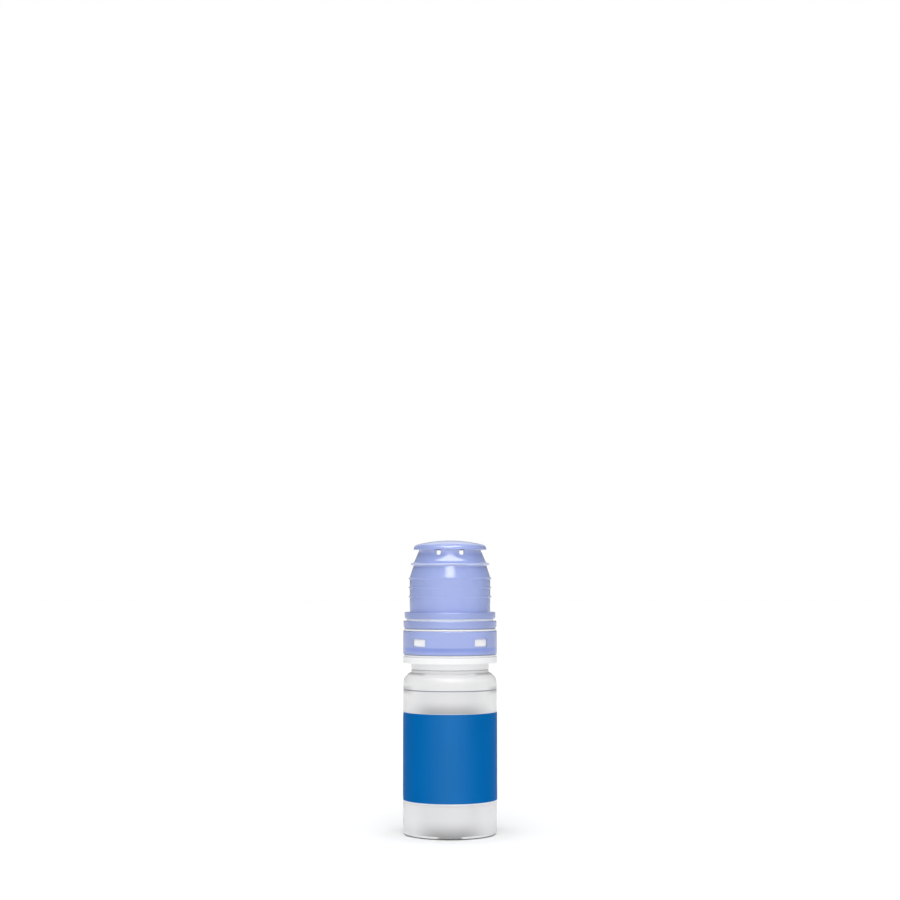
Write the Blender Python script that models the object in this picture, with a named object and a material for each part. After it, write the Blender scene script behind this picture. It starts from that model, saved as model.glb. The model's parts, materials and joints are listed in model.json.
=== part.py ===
"""An eye drop bottle: a squeeze bottle, a clip-on dispenser head with a sprung tip valve, and a pull-off cap.

Metres, +Z up. The origin is the centre of the base on the surface it stands on, and the front faces -Y.
Every turned piece shares the bottle's axis, which is also the axis that the cap and the valve slide along.
"""

import math

import bmesh
import bpy
from mathutils import Vector

# Facets, roundings and gaps
OUTER_FACETS = 40
INNER_FACETS = 24
ARC_STEPS = 4
SMALL_ROUNDING = 0.0007
EDGE_LIMIT_SHARE = 0.48
SHARP_EDGE_DEGREES = 35
MERGE_DISTANCE = 0.0000005
OVERRUN = 0.002
SEAT_GAP = 0.00025
RUNNING_GAP = 0.0003
SNAP_GAP = 0.00005

# Bottle
BODY_RADIUS = 0.01195
BODY_HEIGHT = 0.04075
BODY_WALL = 0.001
BASE_WALL = 0.0011
BASE_ROUNDING = 0.0011
STANDING_RING_WIDTH = 0.00165
PUSH_UP_HEIGHT = 0.0009
PUSH_UP_SLOPE_WIDTH = 0.001
SHOULDER_WIDTH = 0.00206
SHOULDER_LEDGE_WIDTH = 0.00056
SHOULDER_UPPER_ROUNDING = 0.0012
SHOULDER_ROUNDING = 0.003
SHOULDER_CORNER_SHARE = math.tan(math.pi / 8)
SHOULDER_LINE_DROP = 0.00265
SHOULDER_LINE_WIDTH = 0.0003
SHOULDER_LINE_DEPTH = 0.0001
NECK_FOOT_HEIGHT = 0.0009
NECK_FOOT_ROUNDING = 0.0002
NECK_HEIGHT = 0.00825
NECK_WALL = 0.0013
NECK_BEAD_DEPTH = 0.0006
NECK_BEAD_HEIGHT = 0.001
NECK_BEAD_DROP = 0.0014
NECK_BEAD_CHAMFER = 0.0004
INNER_ROUNDING = 0.0009

# Label
LABEL_LIFT = 0.0086
LABEL_TOP_MARGIN = 0.0056
LABEL_THICKNESS = 0.00005
LABEL_GAP = 0.00003
LABEL_SEAM_WIDTH = 0.0076
LABEL_ROUNDING = 0.0016
LABEL_START_DEGREES = 186

# Collar, from its skirt on the neck's foot up to the plate that holds the head down
COLLAR_SKIRT_GAP = 0.00012
COLLAR_SKIRT_HEIGHT = 0.0015
COLLAR_SKIRT_STEP = 0.00031
COLLAR_FLANGE_HEIGHT = 0.00166
COLLAR_FLANGE_ROUNDING = 0.00012
BAND_SEAT_STEP = 0.0002
BAND_SEAT_GAP = 0.00012
COLLAR_WALL = 0.0009
COLLAR_BEAD_ROOM = 0.0004
COLLAR_PLATE_THICKNESS = 0.001
COLLAR_SNAP_DEPTH = 0.0002
COLLAR_SNAP_HEIGHT = 0.0004
COLLAR_SNAP_DROP = 0.0012
COLLAR_TOP_ROUNDING = 0.0003

# Tamper band
BAND_LIFT = 0.00064
BAND_TOP_DROP = 0.00315
BAND_AIR_WIDTH = 0.001
BAND_WALL = 0.00083
BAND_BEAD_HEIGHT = 0.0016
BAND_ROUNDING = 0.00015
WINDOW_OFFSET_SHARE = 0.644
WINDOW_WIDTH = 0.0031
WINDOW_HEIGHT = 0.002
WINDOW_LIFT = 0.00203
WINDOW_ROUNDING = 0.0003
LUG_RECESS = 0.00043
BRIDGE_WIDTH = 0.0004
BRIDGE_DEPTH = 0.0004
BRIDGE_INSET = 0.00005
BRIDGE_GAP = 0.00022
BRIDGE_DEGREES = (0, 30, 150, 180, 210, 330)

# Cap
CAP_RIM_GAP = 0.00055
CAP_SKIRT_ROOM = 0.0005
CAP_RIM_WALL = 0.00124
CAP_RIM_HEIGHT = 0.002
CAP_RIM_CHAMFER = 0.0004
CAP_GROOVE_WALL = 0.0004
CAP_GROOVE_HEIGHT = 0.0005
CAP_FLANGE_WALL = 0.00097
CAP_FLANGE_RISE = 0.00135
CAP_EDGE_ROUNDING = 0.00015
CAP_FLANGE_CHAMFER = 0.0003
CAP_SEAT_STEP = 0.0009
CAP_WALL = 0.00103
CAP_CONE_INSET = 0.00098
CAP_CONE_HEIGHT = 0.00315
LEDGE_OVERHANG = 0.00077
LEDGE_HEIGHT = 0.00055
LEDGE_ROUNDING = 0.0002
VENT_CONE_STEP = 0.00005
VENT_CONE_INSET = 0.00144
VENT_CONE_HEIGHT = 0.0034
VENT_CONE_FOOT_ROUNDING = 0.0004
DISC_OVERHANG = 0.00149
DISC_LIP_HEIGHT = 0.00015
DISC_EDGE_ROUNDING = 0.00125
DOME_RISE = 0.00225
DOME_STEPS = 4
CEILING_LIFT = 0.0006
CEILING_ROUNDING = 0.0004
TIP_HEADROOM = 0.0025
RIB_COUNT = 3
RIB_HEIGHT = 0.0005
RIB_DEPTH = 0.00028
RIB_PITCH = 0.00232
RIB_CREST_SHARE = 0.3
VENT_OFFSET_SHARE = 0.3715
VENT_WIDTH = 0.00115
VENT_DROP = 0.00135
VENT_NOTCH = 0.00015
VENT_REACH = 0.0003

# Head stack between the neck and the collar's plate
GASKET_THICKNESS = 0.0006
GASKET_INSET = 0.0002
INSERT_FLANGE_HEIGHT = 0.0014
INSERT_PLUG_DEPTH = 0.0065
INSERT_PLUG_WALL = 0.001
INSERT_CAVITY_DEPTH = 0.005
FEED_TUBE_RADIUS = 0.0016
FEED_BORE_RADIUS = 0.0005
BOSS_HEIGHT = 0.0017
BOSS_WALL = 0.0005
GUIDE_BORE_DEPTH = 0.004
RECESS_DEPTH = 0.0009
RECESS_LIP = 0.0012
RECESS_MARGIN = 0.00035
VENT_HOLE_RADIUS = 0.00045
VENT_HOLE_INSET = 0.0004
VENT_HOLE_FACETS = 12
FILTER_THICKNESS = 0.00025
CLAMP_RING_HEIGHT = 0.0003
CLAMP_RING_WIDTH = 0.00095

# Nozzle
NOZZLE_FLANGE_HEIGHT = 0.00145
NOZZLE_HEIGHT = 0.0183
TURRET_RADIUS = 0.006
TURRET_RISE = 0.0009
TURRET_ROUNDING = 0.0005
SPOUT_FOOT_RADIUS = 0.0044
SPOUT_FOOT_ROUNDING = 0.0006
SPOUT_TIP_RADIUS = 0.002
SPOUT_TIP_ROUNDING = 0.0008
CHAMBER_RADIUS = 0.0029
CHAMBER_HEIGHT = 0.0077
STEM_BORE_RADIUS = 0.00135
SEAT_CONE_HEIGHT = 0.0008
ORIFICE_RADIUS = 0.00045
ORIFICE_LENGTH = 0.00105

# Valve
VALVE_TRAVEL = 0.0008
PISTON_HEADROOM = 0.0004
PISTON_HEIGHT = 0.0022
SEAL_GROOVE_HEIGHT = 0.0009
SEAL_GROOVE_DEPTH = 0.00065
SEAL_GAP = 0.0002
SEAL_BORE_GAP = 0.0001
STEM_RADIUS = 0.00075
STEM_PIN_RADIUS = 0.0004
STEM_PIN_LENGTH = 0.001
GUIDE_STEM_RADIUS = 0.0009
TIP_LENGTH = 0.0016
TIP_SEAT_GAP = 0.00015
TIP_NOSE_RADIUS = 0.00035
SPRING_MEAN_RADIUS = 0.00225
SPRING_WIRE_RADIUS = 0.0002
SPRING_END_GAP = 0.0002
SPRING_TURNS = 5.5
SPRING_POINTS_PER_TURN = 10

# Radii that follow from the bottle's, going inwards
NECK_FOOT_RADIUS = BODY_RADIUS - SHOULDER_WIDTH
COLLAR_RADIUS = NECK_FOOT_RADIUS + COLLAR_SKIRT_STEP
COLLAR_BORE_RADIUS = COLLAR_RADIUS - COLLAR_WALL
NECK_BEAD_RADIUS = COLLAR_BORE_RADIUS - COLLAR_BEAD_ROOM
NECK_RADIUS = NECK_BEAD_RADIUS - NECK_BEAD_DEPTH
NECK_BORE_RADIUS = NECK_RADIUS - NECK_WALL
HEAD_RADIUS = COLLAR_BORE_RADIUS - RUNNING_GAP
PLUG_RADIUS = NECK_BORE_RADIUS - SEAT_GAP
CAVITY_RADIUS = PLUG_RADIUS - INSERT_PLUG_WALL
VENT_HOLE_OFFSET = CAVITY_RADIUS - VENT_HOLE_INSET - VENT_HOLE_RADIUS
RECESS_INNER_RADIUS = VENT_HOLE_OFFSET - VENT_HOLE_RADIUS - RECESS_MARGIN
RECESS_OUTER_RADIUS = HEAD_RADIUS - RECESS_LIP

# Radii that follow from the collar's, going outwards
BAND_BORE_RADIUS = COLLAR_RADIUS + BAND_AIR_WIDTH
BAND_RADIUS = BAND_BORE_RADIUS + BAND_WALL
SKIRT_BORE_RADIUS = COLLAR_RADIUS + CAP_SKIRT_ROOM
CAP_BORE_RADIUS = COLLAR_RADIUS - CAP_SEAT_STEP
GRIP_RADIUS = CAP_BORE_RADIUS + CAP_WALL
CONE_TOP_RADIUS = GRIP_RADIUS - CAP_CONE_INSET
VENT_CONE_FOOT_RADIUS = CONE_TOP_RADIUS - VENT_CONE_STEP
VENT_CONE_TOP_RADIUS = VENT_CONE_FOOT_RADIUS - VENT_CONE_INSET
DISC_RADIUS = VENT_CONE_TOP_RADIUS + DISC_OVERHANG

# Heights from the base up to the collar's flange
SHOULDER_CORNER_Z = BODY_HEIGHT - (SHOULDER_WIDTH - SHOULDER_LEDGE_WIDTH)
SHOULDER_LINE_Z = SHOULDER_CORNER_Z - SHOULDER_LINE_DROP
LABEL_TOP_Z = SHOULDER_LINE_Z - LABEL_TOP_MARGIN
NECK_FOOT_TOP_Z = BODY_HEIGHT + NECK_FOOT_HEIGHT
NECK_TOP_Z = BODY_HEIGHT + NECK_HEIGHT
NECK_BEAD_TOP_Z = NECK_TOP_Z - NECK_BEAD_DROP
NECK_BEAD_Z = NECK_BEAD_TOP_Z - NECK_BEAD_HEIGHT
COLLAR_Z = NECK_FOOT_TOP_Z + COLLAR_SKIRT_GAP
COLLAR_FLANGE_Z = COLLAR_Z + COLLAR_SKIRT_HEIGHT
COLLAR_FLANGE_TOP_Z = COLLAR_FLANGE_Z + COLLAR_FLANGE_HEIGHT

# Heights of the stack on the neck
GASKET_Z = NECK_TOP_Z + SEAT_GAP
INSERT_FLANGE_Z = GASKET_Z + GASKET_THICKNESS + SEAT_GAP
INSERT_FLANGE_TOP_Z = INSERT_FLANGE_Z + INSERT_FLANGE_HEIGHT
INSERT_PLUG_Z = INSERT_FLANGE_Z - INSERT_PLUG_DEPTH
CAVITY_TOP_Z = INSERT_PLUG_Z + INSERT_CAVITY_DEPTH
BOSS_TOP_Z = INSERT_FLANGE_TOP_Z + BOSS_HEIGHT
GUIDE_BORE_Z = BOSS_TOP_Z - GUIDE_BORE_DEPTH
RECESS_Z = INSERT_FLANGE_TOP_Z - RECESS_DEPTH
FILTER_Z = RECESS_Z + SEAT_GAP
CLAMP_RING_Z = FILTER_Z + FILTER_THICKNESS + SEAT_GAP
NOZZLE_Z = CLAMP_RING_Z + CLAMP_RING_HEIGHT + SEAT_GAP
NOZZLE_FLANGE_TOP_Z = NOZZLE_Z + NOZZLE_FLANGE_HEIGHT
COLLAR_PLATE_Z = NOZZLE_FLANGE_TOP_Z + SEAT_GAP
COLLAR_TOP_Z = COLLAR_PLATE_Z + COLLAR_PLATE_THICKNESS
COLLAR_SNAP_Z = COLLAR_TOP_Z - COLLAR_SNAP_DROP - COLLAR_SNAP_HEIGHT
TURRET_TOP_Z = COLLAR_TOP_Z + TURRET_RISE
CHAMBER_TOP_Z = NOZZLE_Z + CHAMBER_HEIGHT
TIP_Z = NOZZLE_Z + NOZZLE_HEIGHT
SEAT_TOP_Z = TIP_Z - ORIFICE_LENGTH
SEAT_FOOT_Z = SEAT_TOP_Z - SEAT_CONE_HEIGHT

# Heights of the valve, closed
PISTON_TOP_Z = CHAMBER_TOP_Z - PISTON_HEADROOM
PISTON_Z = PISTON_TOP_Z - PISTON_HEIGHT
SEAL_GROOVE_Z = (PISTON_Z + PISTON_TOP_Z - SEAL_GROOVE_HEIGHT) / 2
GUIDE_STEM_Z = GUIDE_BORE_Z + VALVE_TRAVEL + SEAT_GAP
VALVE_CONE_Z = SEAT_FOOT_Z - TIP_SEAT_GAP
VALVE_TIP_Z = VALVE_CONE_Z - TIP_LENGTH
STEM_TOP_Z = VALVE_TIP_Z - SEAL_GAP

# Heights of the tamper band and the cap
BAND_Z = COLLAR_FLANGE_TOP_Z + BAND_LIFT
BAND_TOP_Z = COLLAR_TOP_Z - BAND_TOP_DROP
WINDOW_Z = BAND_Z + WINDOW_LIFT
CAP_Z = BAND_TOP_Z + CAP_RIM_GAP
CAP_RIM_TOP_Z = CAP_Z + CAP_RIM_HEIGHT
CAP_FLANGE_Z = CAP_RIM_TOP_Z + CAP_GROOVE_HEIGHT
CAP_SEAT_Z = COLLAR_TOP_Z + SEAT_GAP
CAP_FLANGE_TOP_Z = CAP_SEAT_Z + CAP_FLANGE_RISE
CEILING_Z = TIP_Z + TIP_HEADROOM
DISC_Z = CEILING_Z - CEILING_LIFT
DISC_EDGE_Z = DISC_Z + DISC_LIP_HEIGHT
DOME_TOP_Z = DISC_EDGE_Z + DOME_RISE
LEDGE_TOP_Z = DISC_Z - VENT_CONE_HEIGHT
LEDGE_Z = LEDGE_TOP_Z - LEDGE_HEIGHT
GRIP_TOP_Z = LEDGE_Z - CAP_CONE_HEIGHT

# Linear colours
PERIWINKLE = (0.42, 0.50, 0.85)
LABEL_BLUE = (0.004, 0.13, 0.46)
BRIGHT_WHITE = (0.93, 0.93, 0.95)
MILKY = (0.80, 0.80, 0.82)
HEAD_WHITE = (0.86, 0.87, 0.88)
SILICONE = (0.62, 0.64, 0.66)
MEMBRANE = (0.90, 0.90, 0.86)
STEEL = (0.55, 0.55, 0.56)


def clear_scene():
    for thing in list(bpy.data.objects):
        bpy.data.objects.remove(thing)


def finish(name, colour, roughness, metallic=0, transmission=0):
    """A material with the piece's own colour and gloss."""
    material = bpy.data.materials.new(name)
    material.use_nodes = True
    shader = material.node_tree.nodes["Principled BSDF"]
    shader.inputs["Base Color"].default_value = (*colour, 1)
    shader.inputs["Roughness"].default_value = roughness
    shader.inputs["Metallic"].default_value = metallic
    shader.inputs["Transmission Weight"].default_value = transmission
    return material


def add_object(name, shape, material=None):
    """Makes a bmesh into an object of the scene, smooth except at its real edges."""
    mesh = bpy.data.meshes.new(name)
    shape.to_mesh(mesh)
    shape.free()
    mesh.shade_smooth()
    mesh.set_sharp_from_angle(angle=math.radians(SHARP_EDGE_DEGREES))
    thing = bpy.data.objects.new(name, mesh)
    bpy.context.scene.collection.objects.link(thing)
    if material:
        mesh.materials.append(material)
    return thing


def rounded(corners):
    """The outline with each corner that gives a third value, its rounding, turned into an arc.

    A rounding that its two edges are too short for is made as large as they allow.
    """
    outline = []
    for index, corner in enumerate(corners):
        place = Vector(corner[:2])
        if len(corner) < 3:
            outline.append(place)
            continue
        back = Vector(corners[index - 1][:2]) - place
        ahead = Vector(corners[(index + 1) % len(corners)][:2]) - place
        half_angle = back.angle(ahead) / 2
        longest = min(back.length, ahead.length) * EDGE_LIMIT_SHARE
        reach = min(corner[2] / math.tan(half_angle), longest)
        radius = reach * math.tan(half_angle)
        back.normalize()
        ahead.normalize()
        centre = place + (back + ahead).normalized() * radius / math.sin(half_angle)
        first = place + back * reach - centre
        last = place + ahead * reach - centre
        steps = ARC_STEPS if corner[2] > SMALL_ROUNDING else 1
        for step in range(steps + 1):
            outline.append(centre + first.slerp(last, step / steps) * radius)
    return outline


def turned(name, corners, material=None, facets=OUTER_FACETS):
    """A solid turned about the Z axis from a closed outline of (radius, height) corners."""
    shape = bmesh.new()
    points = [shape.verts.new((radius, 0, height)) for radius, height in rounded(corners)]
    pairs = zip(points, points[1:] + points[:1])
    edges = [shape.edges.new(pair) for pair in pairs if max(end.co.x for end in pair) > 0]
    bmesh.ops.spin(
        shape,
        geom=points + edges,
        cent=(0, 0, 0),
        axis=(0, 0, 1),
        angle=math.tau,
        steps=facets,
        use_merge=True,
    )
    bmesh.ops.remove_doubles(shape, verts=shape.verts, dist=MERGE_DISTANCE)
    bmesh.ops.recalc_face_normals(shape, faces=shape.faces)
    return add_object(name, shape, material)


def prism(name, corners, low, high):
    """A solid with an upright outline of (x, z) corners, drawn out along Y from low to high."""
    shape = bmesh.new()
    face = shape.faces.new([shape.verts.new((x, low, z)) for x, z in rounded(corners)])
    made = bmesh.ops.extrude_face_region(shape, geom=[face])["geom"]
    moved = [item for item in made if isinstance(item, bmesh.types.BMVert)]
    bmesh.ops.translate(shape, verts=moved, vec=(0, high - low, 0))
    bmesh.ops.recalc_face_normals(shape, faces=shape.faces)
    return add_object(name, shape)


def combine(piece, tool, operation):
    """Cuts a helper solid out of a piece, joins it on, or keeps only what both hold."""
    tool.hide_render = True
    tool.display_type = "WIRE"
    modifier = piece.modifiers.new(tool.name, "BOOLEAN")
    modifier.operation = operation
    modifier.solver = "EXACT"
    modifier.object = tool
    return piece


def tube(name, inner, outer, low, high, material, facets):
    """A plain ring with square edges."""
    corners = [(inner, high), (outer, high), (outer, low), (inner, low)]
    return turned(name, corners, material, facets)


def both_sides(offset):
    return (("left", -offset), ("right", offset))


def bottle(material):
    """Bottle with a pushed-up base on a standing ring, a rounded shoulder, and a beaded neck."""
    ring_inner = BODY_RADIUS - BASE_ROUNDING - STANDING_RING_WIDTH
    push_up = ring_inner - PUSH_UP_SLOPE_WIDTH
    line_half = SHOULDER_LINE_WIDTH / 2
    bead_flat = NECK_BEAD_TOP_Z - NECK_BEAD_CHAMFER
    outside = [
        (NECK_BORE_RADIUS, NECK_TOP_Z),
        (NECK_RADIUS, NECK_TOP_Z),
        (NECK_RADIUS, NECK_BEAD_TOP_Z),
        (NECK_BEAD_RADIUS, bead_flat),
        (NECK_BEAD_RADIUS, NECK_BEAD_Z),
        (NECK_RADIUS, NECK_BEAD_Z),
        (NECK_RADIUS, NECK_FOOT_TOP_Z),
        (NECK_FOOT_RADIUS, NECK_FOOT_TOP_Z, NECK_FOOT_ROUNDING),
        (NECK_FOOT_RADIUS, BODY_HEIGHT),
        (NECK_FOOT_RADIUS + SHOULDER_LEDGE_WIDTH, BODY_HEIGHT, SHOULDER_UPPER_ROUNDING),
        (BODY_RADIUS, SHOULDER_CORNER_Z, SHOULDER_ROUNDING),
        (BODY_RADIUS, SHOULDER_LINE_Z + line_half),
        (BODY_RADIUS - SHOULDER_LINE_DEPTH, SHOULDER_LINE_Z),
        (BODY_RADIUS, SHOULDER_LINE_Z - line_half),
        (BODY_RADIUS, 0, BASE_ROUNDING),
        (ring_inner, 0),
        (push_up, PUSH_UP_HEIGHT),
        (0, PUSH_UP_HEIGHT),
    ]
    inner = BODY_RADIUS - BODY_WALL
    corner_drop = BODY_WALL * SHOULDER_CORNER_SHARE
    ledge = NECK_FOOT_RADIUS + SHOULDER_LEDGE_WIDTH - corner_drop
    inside = [
        (0, PUSH_UP_HEIGHT + BASE_WALL),
        (push_up, PUSH_UP_HEIGHT + BASE_WALL),
        (ring_inner, BASE_WALL),
        (inner, BASE_WALL, INNER_ROUNDING),
        (inner, SHOULDER_CORNER_Z - corner_drop, SHOULDER_ROUNDING - BODY_WALL),
        (ledge, BODY_HEIGHT - BODY_WALL),
        (NECK_BORE_RADIUS, BODY_HEIGHT - BODY_WALL),
    ]
    return turned("bottle", outside + inside, material)


def label(material):
    """Film label round the bottle, open at a seam at the back, with rounded corners."""
    inner = BODY_RADIUS + LABEL_GAP
    outer = inner + LABEL_THICKNESS
    middle = (LABEL_LIFT + LABEL_TOP_Z) / 2
    half_gap = outer * math.sin(LABEL_SEAM_WIDTH / outer / 2)
    flare = half_gap + LABEL_ROUNDING + OVERRUN
    high = LABEL_TOP_Z + OVERRUN
    low = LABEL_LIFT - OVERRUN
    seam_outline = [
        (half_gap, middle),
        (half_gap, LABEL_TOP_Z, LABEL_ROUNDING),
        (flare, LABEL_TOP_Z),
        (flare, high),
        (-flare, high),
        (-flare, LABEL_TOP_Z),
        (-half_gap, LABEL_TOP_Z, LABEL_ROUNDING),
        (-half_gap, LABEL_LIFT, LABEL_ROUNDING),
        (-flare, LABEL_LIFT),
        (-flare, low),
        (flare, low),
        (flare, LABEL_LIFT),
        (half_gap, LABEL_LIFT, LABEL_ROUNDING),
    ]
    film = tube("label", inner, outer, LABEL_LIFT, LABEL_TOP_Z, material, OUTER_FACETS)
    seam = prism("label_seam_cutter", seam_outline, inner / 2, outer + OVERRUN)
    half_seam_degrees = math.degrees(LABEL_SEAM_WIDTH / outer) / 2
    seam.rotation_euler.z = math.radians(LABEL_START_DEGREES - half_seam_degrees) - math.pi / 2
    return combine(film, seam, "DIFFERENCE")


def collar(material):
    """White collar that snaps under the neck's bead, with the lugs that hold the tamper band."""
    opening = TURRET_RADIUS + RUNNING_GAP
    snap = COLLAR_RADIUS + COLLAR_SNAP_DEPTH
    snap_middle = COLLAR_SNAP_Z + COLLAR_SNAP_HEIGHT / 2
    neck_side = NECK_RADIUS + SEAT_GAP
    hook_top = NECK_BEAD_Z - SEAT_GAP
    band_seat = BAND_RADIUS - BAND_SEAT_STEP
    band_seat_top = BAND_Z - BAND_SEAT_GAP
    corners = [
        (opening, COLLAR_TOP_Z),
        (COLLAR_RADIUS, COLLAR_TOP_Z, COLLAR_TOP_ROUNDING),
        (COLLAR_RADIUS, COLLAR_SNAP_Z + COLLAR_SNAP_HEIGHT),
        (snap, snap_middle),
        (COLLAR_RADIUS, COLLAR_SNAP_Z),
        (COLLAR_RADIUS, band_seat_top),
        (band_seat, band_seat_top),
        (band_seat, COLLAR_FLANGE_TOP_Z),
        (BAND_RADIUS, COLLAR_FLANGE_TOP_Z, COLLAR_FLANGE_ROUNDING),
        (BAND_RADIUS, COLLAR_FLANGE_Z, COLLAR_FLANGE_ROUNDING),
        (NECK_FOOT_RADIUS, COLLAR_FLANGE_Z),
        (NECK_FOOT_RADIUS, COLLAR_Z),
        (neck_side, COLLAR_Z),
        (neck_side, hook_top),
        (COLLAR_BORE_RADIUS, hook_top),
        (COLLAR_BORE_RADIUS, COLLAR_PLATE_Z),
        (opening, COLLAR_PLATE_Z),
    ]
    piece = turned("collar", corners, material)
    for side, offset in both_sides(BAND_RADIUS * WINDOW_OFFSET_SHARE):
        combine(piece, lug_pair(side, offset), "UNION")
    return piece


def lug_pair(side, offset):
    """The front and rear lug on one side: the part of a ring that passes through the windows there."""
    low = WINDOW_Z + SEAT_GAP
    high = WINDOW_Z + WINDOW_HEIGHT - SEAT_GAP
    half_width = WINDOW_WIDTH / 2 - SEAT_GAP
    inner = COLLAR_RADIUS - COLLAR_WALL / 2
    ring = tube(f"lugs_{side}", inner, BAND_RADIUS - LUG_RECESS, low, high, None, OUTER_FACETS)
    bar_outline = [
        (offset - half_width, low - OVERRUN),
        (offset + half_width, low - OVERRUN),
        (offset + half_width, high + OVERRUN),
        (offset - half_width, high + OVERRUN),
    ]
    bar = prism(f"lug_bar_{side}", bar_outline, -BAND_RADIUS, BAND_RADIUS)
    return combine(ring, bar, "INTERSECT")


def tamper_band(material):
    """Band with four windows for the lugs and a thick lower bead, and the broken bridges on its top."""
    bead_bore = COLLAR_RADIUS + RUNNING_GAP
    bead_top = BAND_Z + BAND_BEAD_HEIGHT
    corners = [
        (BAND_BORE_RADIUS, BAND_TOP_Z),
        (BAND_RADIUS, BAND_TOP_Z, BAND_ROUNDING),
        (BAND_RADIUS, BAND_Z),
        (bead_bore, BAND_Z),
        (bead_bore, bead_top),
        (BAND_BORE_RADIUS, bead_top),
    ]
    piece = turned("tamper_band", corners, material)
    half_width = WINDOW_WIDTH / 2
    top = WINDOW_Z + WINDOW_HEIGHT
    for side, offset in both_sides(BAND_RADIUS * WINDOW_OFFSET_SHARE):
        window_outline = [
            (offset - half_width, WINDOW_Z, WINDOW_ROUNDING),
            (offset + half_width, WINDOW_Z, WINDOW_ROUNDING),
            (offset + half_width, top, WINDOW_ROUNDING),
            (offset - half_width, top, WINDOW_ROUNDING),
        ]
        reach = BAND_RADIUS + OVERRUN
        cutter = prism(f"window_cutter_{side}", window_outline, -reach, reach)
        combine(piece, cutter, "DIFFERENCE")
    for degrees in BRIDGE_DEGREES:
        combine(piece, bridge(degrees), "UNION")
    return piece


def bridge(degrees):
    """One small bridge that tied the band to the cap's rim, rooted in the band's top."""
    low = BAND_TOP_Z - BRIDGE_DEPTH
    high = CAP_Z - BRIDGE_GAP
    half_width = BRIDGE_WIDTH / 2
    inner = BAND_BORE_RADIUS + BRIDGE_INSET
    outline = [(-half_width, low), (half_width, low), (half_width, high), (-half_width, high)]
    piece = prism(f"bridge_{degrees}", outline, inner, inner + BRIDGE_DEPTH)
    piece.rotation_euler.z = math.radians(degrees) - math.pi / 2
    return piece


def disc_top():
    """Points of the disc's top: a shallow dome that bends over smoothly into the arc of the disc's edge."""
    edge = DISC_EDGE_ROUNDING
    reach = DISC_RADIUS - edge
    dome = (DOME_RISE**2 + reach**2 - edge**2) / (2 * (DOME_RISE - edge))
    dome_angle = math.atan2(reach, dome - DOME_RISE)
    points = []
    for step in range(DOME_STEPS):
        angle = dome_angle * step / DOME_STEPS
        points.append((dome * math.sin(angle), DOME_TOP_Z - dome * (1 - math.cos(angle))))
    for step in range(ARC_STEPS + 1):
        angle = dome_angle + (math.pi / 2 - dome_angle) * step / ARC_STEPS
        points.append((reach + edge * math.sin(angle), DISC_EDGE_Z + edge * math.cos(angle)))
    return points


def ribs(radius, top):
    """Corners of the fine ribs round the grip, from the top one down."""
    corners = []
    for index in range(RIB_COUNT):
        high = top - index * RIB_PITCH
        crest = RIB_HEIGHT * RIB_CREST_SHARE
        corners += [
            (radius, high),
            (radius + RIB_DEPTH, high - crest),
            (radius + RIB_DEPTH, high - RIB_HEIGHT + crest),
            (radius, high - RIB_HEIGHT),
        ]
    return corners


def cap(material):
    """Pull-off cap: rim, groove, flange, ribbed grip, cone, ledge, vented cone and domed disc."""
    rim = SKIRT_BORE_RADIUS + CAP_RIM_WALL
    groove = SKIRT_BORE_RADIUS + CAP_GROOVE_WALL
    flange = SKIRT_BORE_RADIUS + CAP_FLANGE_WALL
    ledge = CONE_TOP_RADIUS + LEDGE_OVERHANG
    outside = disc_top() + [
        (DISC_RADIUS, DISC_Z),
        (VENT_CONE_TOP_RADIUS, DISC_Z),
        (VENT_CONE_FOOT_RADIUS, LEDGE_TOP_Z, VENT_CONE_FOOT_ROUNDING),
        (ledge, LEDGE_TOP_Z, LEDGE_ROUNDING),
        (ledge, LEDGE_Z, LEDGE_ROUNDING),
        (CONE_TOP_RADIUS, LEDGE_Z),
    ]
    outside += ribs(GRIP_RADIUS, GRIP_TOP_Z) + [
        (GRIP_RADIUS, CAP_FLANGE_TOP_Z),
        (flange, CAP_FLANGE_TOP_Z, CAP_EDGE_ROUNDING),
        (flange, CAP_FLANGE_Z, CAP_FLANGE_CHAMFER),
        (groove, CAP_FLANGE_Z),
        (groove, CAP_RIM_TOP_Z),
        (rim, CAP_RIM_TOP_Z, CAP_EDGE_ROUNDING),
        (rim, CAP_Z, CAP_RIM_CHAMFER),
    ]
    snap_top = COLLAR_SNAP_Z - SEAT_GAP
    snap_bottom = snap_top - COLLAR_SNAP_HEIGHT
    inside = [
        (SKIRT_BORE_RADIUS, CAP_Z),
        (SKIRT_BORE_RADIUS, snap_bottom),
        (COLLAR_RADIUS + COLLAR_SNAP_DEPTH + SNAP_GAP, (snap_bottom + snap_top) / 2),
        (SKIRT_BORE_RADIUS, snap_top),
        (SKIRT_BORE_RADIUS, CAP_SEAT_Z),
        (CAP_BORE_RADIUS, CAP_SEAT_Z),
        (CAP_BORE_RADIUS, GRIP_TOP_Z),
        (VENT_CONE_FOOT_RADIUS - CAP_WALL, LEDGE_TOP_Z),
        (VENT_CONE_TOP_RADIUS - CAP_WALL, CEILING_Z, CEILING_ROUNDING),
        (0, CEILING_Z),
    ]
    piece = turned("cap", outside + inside, material)
    for side, offset in both_sides(VENT_CONE_TOP_RADIUS * VENT_OFFSET_SHARE):
        combine(piece, vent_cutter(side, offset), "DIFFERENCE")
    return piece


def vent_cutter(side, offset):
    """Round-bottomed slot through the front and the back of the vented cone, just under the disc."""
    half_width = VENT_WIDTH / 2
    low = DISC_Z - VENT_DROP
    high = DISC_Z + VENT_NOTCH
    outline = [
        (offset - half_width, high),
        (offset - half_width, low, half_width),
        (offset + half_width, low, half_width),
        (offset + half_width, high),
    ]
    reach = VENT_CONE_TOP_RADIUS + VENT_REACH
    return prism(f"vent_cutter_{side}", outline, -reach, reach)


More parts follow.
